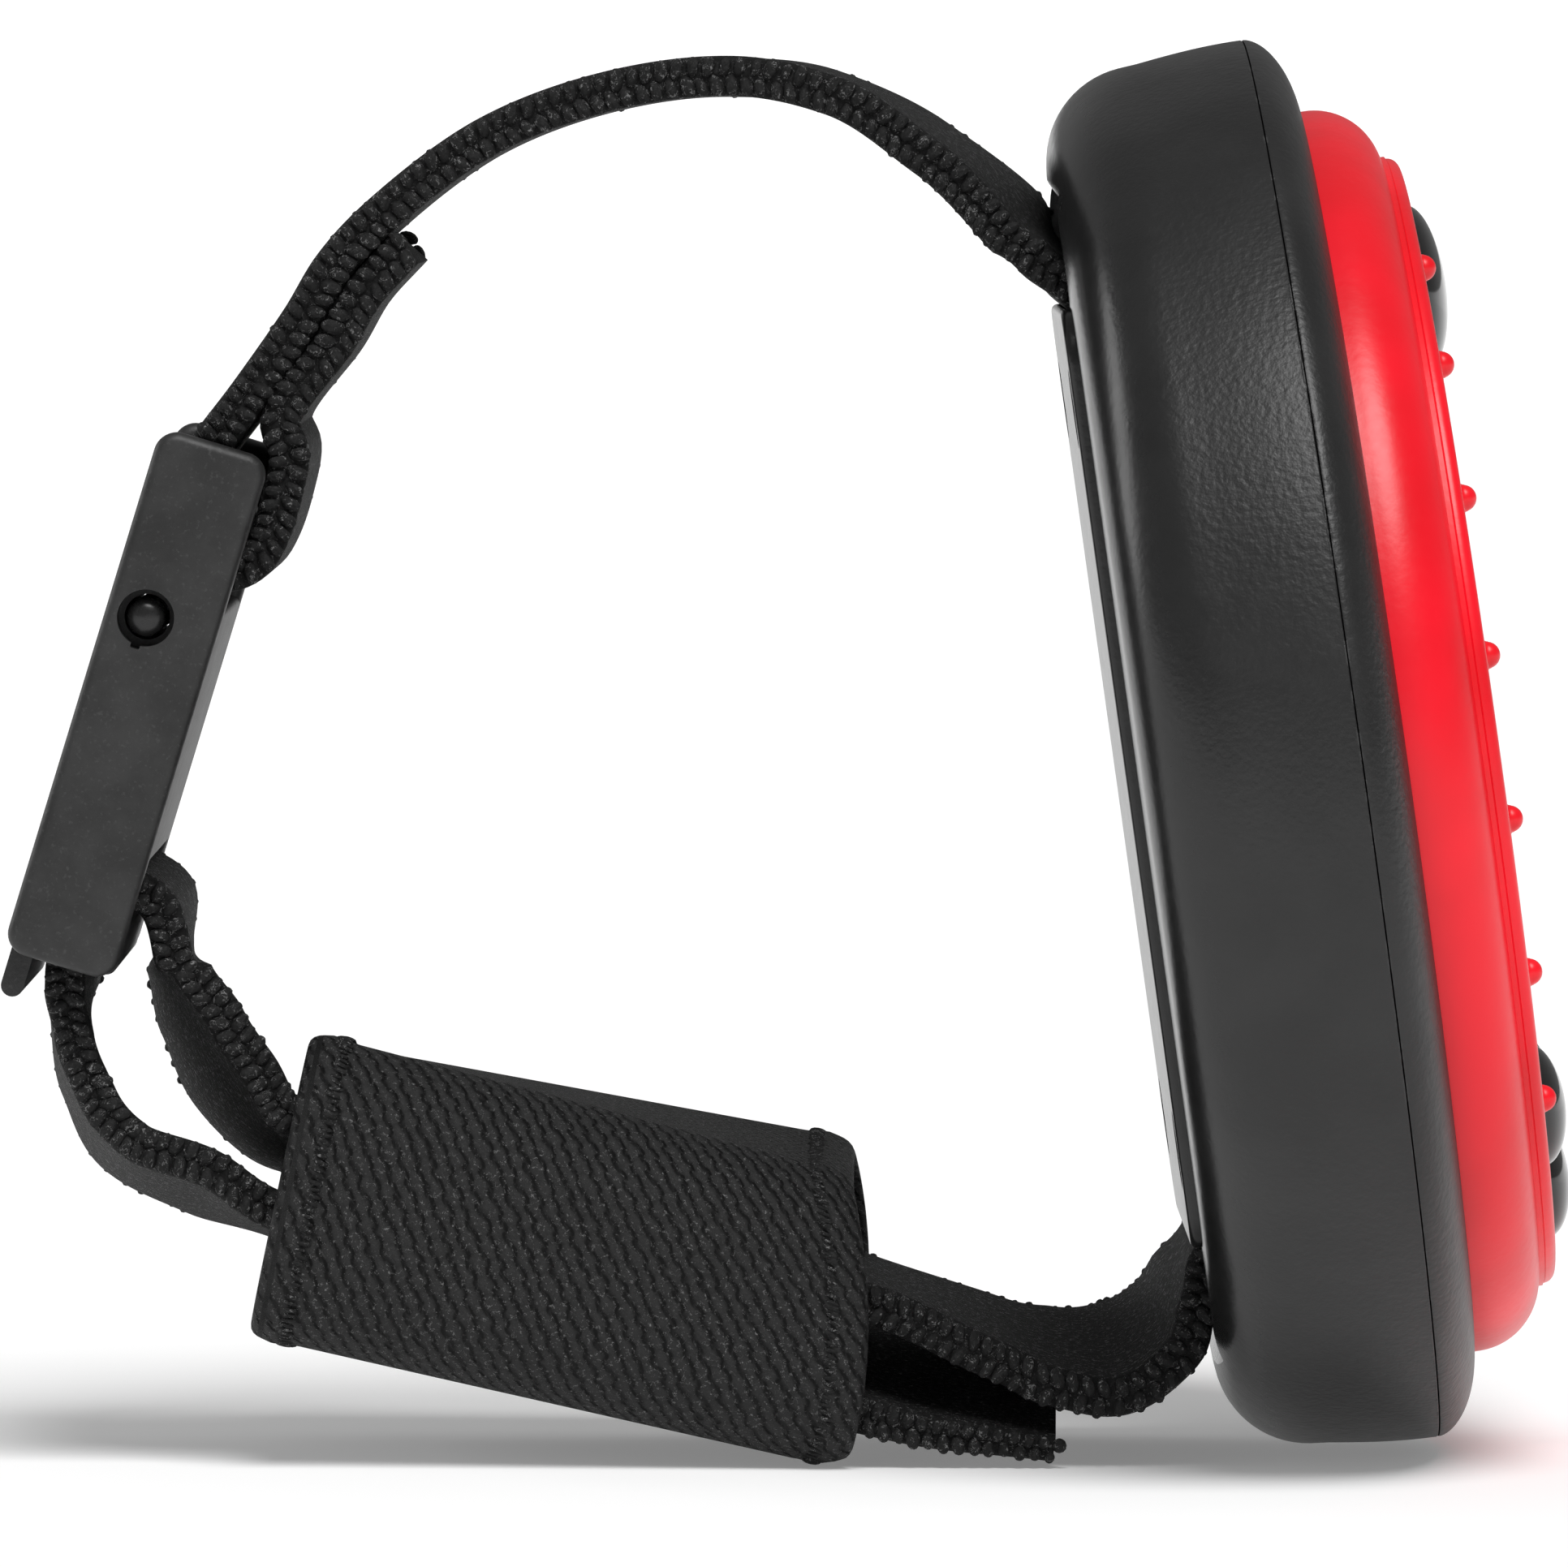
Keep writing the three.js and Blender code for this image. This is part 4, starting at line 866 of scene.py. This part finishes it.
# overlocked rims: short threads lying along the tube, side by side just inside each hem
def keeperRims():
    parts = []
    for t, sign in ((0.0, -1), (1.0, 1)):
        ring, way = keeperRings(np.array([t]), 0.0, -sign * rim["setBack"])
        closed = np.concatenate([ring[0], ring[0][:1]])
        length = np.concatenate([[0], np.cumsum(np.linalg.norm(np.diff(closed, axis=0), axis=1))])
        even = np.linspace(0, length[-1], int(length[-1] / rim["pitch"]), endpoint=False)
        place = np.stack([np.interp(even, length, closed[:, k]) for k in range(3)], axis=-1)
        tangent = np.roll(place, -1, axis=0) - np.roll(place, 1, axis=0)
        tangent /= np.linalg.norm(tangent, axis=1)[:, None]
        outward = np.cross(tangent, np.broadcast_to(way, tangent.shape))
        outward *= np.sign(np.sum(outward * (place - place.mean(axis=0)), axis=1).mean())
        count = (len(even), 1)
        size = 1 + seeded.normal(0, 0.12, count)
        lean = way + tangent * seeded.normal(0.12, 0.12, count)
        middle = place + outward * 0.05 + way * seeded.normal(0, 0.05, count)
        parts.append((middle, lean * rim["long"] * size, tangent * rim["wide"] * size,
                      outward * rim["proud"] * size))
    middle, long, wide, proud = (np.concatenate([part[k] for part in parts]) for k in range(4))
    piece = stitches("keeper_rim_stitches", middle, long, wide, proud, 5, 8)
    return dress(piece, "keeper", finishes["yarn"], "keeper_knit")


keeperTube()
keeperRims()
print("stage: keeper made")


# the buckle
def slabOnBuckle(name, length, depth, corner, down, out, across, thickness, edge):
    def shrunk(drawn):
        return roundedOutline(length - 2 * drawn, depth - 2 * drawn, max(corner - drawn, 0.05), 10)
    def placed(d, o, a):
        return onBuckle(d + down, o + out, a + across)
    return cushionedSlab(name, shrunk, placed, thickness, edge, 6)


# a rod across the buckle with domed ends, at one place of its side view
def rodAcross(name, down, out, radius, half, dome=0.0, segments=48):
    end = arc(0, half - dome, radius, dome, 0, 86, 8) if dome else np.array([[radius, half], [0.05, half]])
    profile = np.concatenate([(end * [1, -1])[::-1], end])
    angle = np.linspace(0, 2 * math.pi, segments, endpoint=False)
    r, a = profile[:, 0][:, None], profile[:, 1][:, None]
    return tubeObject(name, onBuckle(down + r * np.cos(angle), out + r * np.sin(angle), a + 0 * angle))


frameSize = {"edge": 0.55, "hole": 1.5, "notch": 0.5, "notchAt": (1.45, 0.1), "floorLength": 13.8,
             "floorMiddle": 1.0, "floorDepth": 1.2, "loopBar": 1.2, "gripDepth": 1.3, "seated": 0.8}


# two side plates with a hole for the pin, a floor, the loop's bar and the grip bar
def buckleFrame():
    inner, wall, skin = buckle["innerWidth"], buckle["wall"], buckle["skinSide"]
    throughAll = 36.0
    pieces = []
    for side in (-1, 1):
        plate = slabOnBuckle("side", buckle["length"], buckle["depth"], buckle["corner"], 0, 0,
                             side * (inner + wall) / 2, wall, frameSize["edge"])
        hole = rodAcross("hole", buckle["pivotAlong"], buckle["pivotOut"], frameSize["hole"], throughAll / 2)
        down, out = frameSize["notchAt"]
        notch = slabOnBuckle("notch", frameSize["notch"], frameSize["notch"], 0.1, buckle["pivotAlong"] + down,
                             buckle["pivotOut"] + out, 0, throughAll, 0.01)
        pieces.append(cutAway(plate, [hole, notch]))
    across = inner + frameSize["seated"]
    deep = frameSize["floorDepth"]
    pieces.append(slabOnBuckle("floor", frameSize["floorLength"], deep, 0.35, frameSize["floorMiddle"],
                               skin + deep / 2, 0, across, 0.02))
    pieces.append(rodAcross("loop_bar", buckle["loopBarAlong"], buckle["loopBarOut"], frameSize["loopBar"],
                            across / 2))
    gripLength, deep = 3.3, frameSize["gripDepth"]
    pieces.append(slabOnBuckle("grip_bar", gripLength, deep, 0.6, (buckle["gripStart"] + buckle["gripEnd"]) / 2,
                               skin + deep / 2, 0, across, 0.02))
    return dress(joined("buckle_body", pieces), band, finishes["buckle"], "buckle_plastic", "buckle_frame")


leverSize = {"hub": 1.95, "face": 1.4, "thick": 1.2, "tip": 0.6, "past": 2.4, "clear": 0.4, "bore": 1.2}


# the lever: its side view carried across the buckle, a hub round the pin and a flat arm with a round tip
def buckleLever():
    pivot, out, hub, faceOut = buckle["pivotAlong"], buckle["pivotOut"], leverSize["hub"], leverSize["face"]
    end, tip = buckle["length"] / 2 + leverSize["past"], leverSize["tip"]
    outline = np.concatenate([arc(pivot, out, hub, hub, 85, 305, 24),
                              [[pivot + hub, faceOut - 0.2], [pivot + 3, faceOut]],
                              arc(end - tip, faceOut + tip, tip, tip, -90, 90, 12),
                              [[pivot + 1, faceOut + leverSize["thick"]]]])
    half = buckle["innerWidth"] / 2 - leverSize["clear"]
    levels = (-half, -half + 0.01, half - 0.01, half)
    rings = np.stack([onBuckle(outline[:, 0], outline[:, 1], a) for a in levels])
    lever = tubeObject("lever_arm", rings)
    bore = rodAcross("bore", pivot, out, leverSize["bore"], 16.0)
    return dress(cutAway(lever, [bore]), "lever", finishes["buckle"], "buckle_plastic", "buckle_lever")


buckleFrame()
buckleLever()
dress(rodAcross("pivot_pin", buckle["pivotAlong"], buckle["pivotOut"], 1.0, 14.8, 0.5), "lever", finishes["pin"],
      "dark_pin", "lever_pin")
print("stage: buckle made")


# floor, light and camera
studio = {
    "floorGlow": 0.20, "floorRadius": 3.4, "floorRise": 0.6, "room": 0.22,
    "overhead": {"turn": 108, "height": 57, "spread": 34, "power": 2.5},
    "left_side": {"turn": -22, "height": 16, "spread": 30, "power": 0.6},
}


# a pale floor that rises in a smooth curve far behind everything
def stageFloor():
    made, start = newFinish("pale_floor")
    finishWith(start, {"Base Color": grey(0.9), "Roughness": 1.0, "Specular IOR Level": 0.0,
                       "Emission Color": grey(1.0), "Emission Strength": studio["floorGlow"]})
    rise = studio["floorRise"]
    profile = np.concatenate([[[0.001, 0]], arc(studio["floorRadius"], rise, rise, rise, 270, 330, 16)]) / mm
    angle = np.linspace(0, 2 * math.pi, 96, endpoint=False)
    r, z = profile[:, 0][:, None], profile[:, 1][:, None]
    bowl = np.stack([r * np.cos(angle), r * np.sin(angle), z + 0 * angle], axis=-1)
    floor = meshObject("floor", bowl, [gridFaces(len(profile), 96)])
    floor.data.materials.append(made)


def aim(thing, target):
    thing.rotation_euler = (Vector(target) - thing.location).to_track_quat("-Z", "Y").to_euler()


# an even pale room
def world():
    made = bpy.data.worlds.new("studio")
    bpy.context.scene.world = made
    made.use_nodes = True
    made.node_tree.nodes.clear()
    start = Wire(made.node_tree)
    back = start.node("ShaderNodeBackground", {}, {"Color": (1, 1, 1, 1), "Strength": studio["room"]})
    start.node("ShaderNodeOutputWorld", {}, {"Surface": back})


# a very wide soft light from one direction: how far round from the camera's left, and how high
def wideLight(name, turn, height, spread, power):
    lamp = bpy.data.lights.new(name, "SUN")
    lamp.angle = math.radians(spread)
    lamp.energy = power
    made = bpy.data.objects.new(name, lamp)
    bpy.context.scene.collection.objects.link(made)
    flat = math.cos(math.radians(height))
    made.location = (-flat * math.cos(math.radians(turn)), -flat * math.sin(math.radians(turn)),
                     math.sin(math.radians(height)))
    aim(made, (0, 0, 0))


camera = {"distance": 0.900, "elevation": 2.2, "lens": 388.2, "target": (-0.37 * mm, 0.0, 35.62 * mm)}


def placeCamera():
    shot = bpy.data.cameras.new("camera")
    shot.lens, shot.sensor_width = camera["lens"], 36.0
    made = bpy.data.objects.new("camera", shot)
    bpy.context.scene.collection.objects.link(made)
    rise = math.radians(camera["elevation"])
    x, y, z = camera["target"]
    made.location = (x, y - camera["distance"] * math.cos(rise), z + camera["distance"] * math.sin(rise))
    aim(made, camera["target"])
    bpy.context.scene.camera = made


stageFloor()
world()
for lightName in ("overhead", "left_side"):
    wideLight(lightName, **studio[lightName])
placeCamera()
bpy.context.scene.view_settings.view_transform = "Standard"
print("stage: studio set")
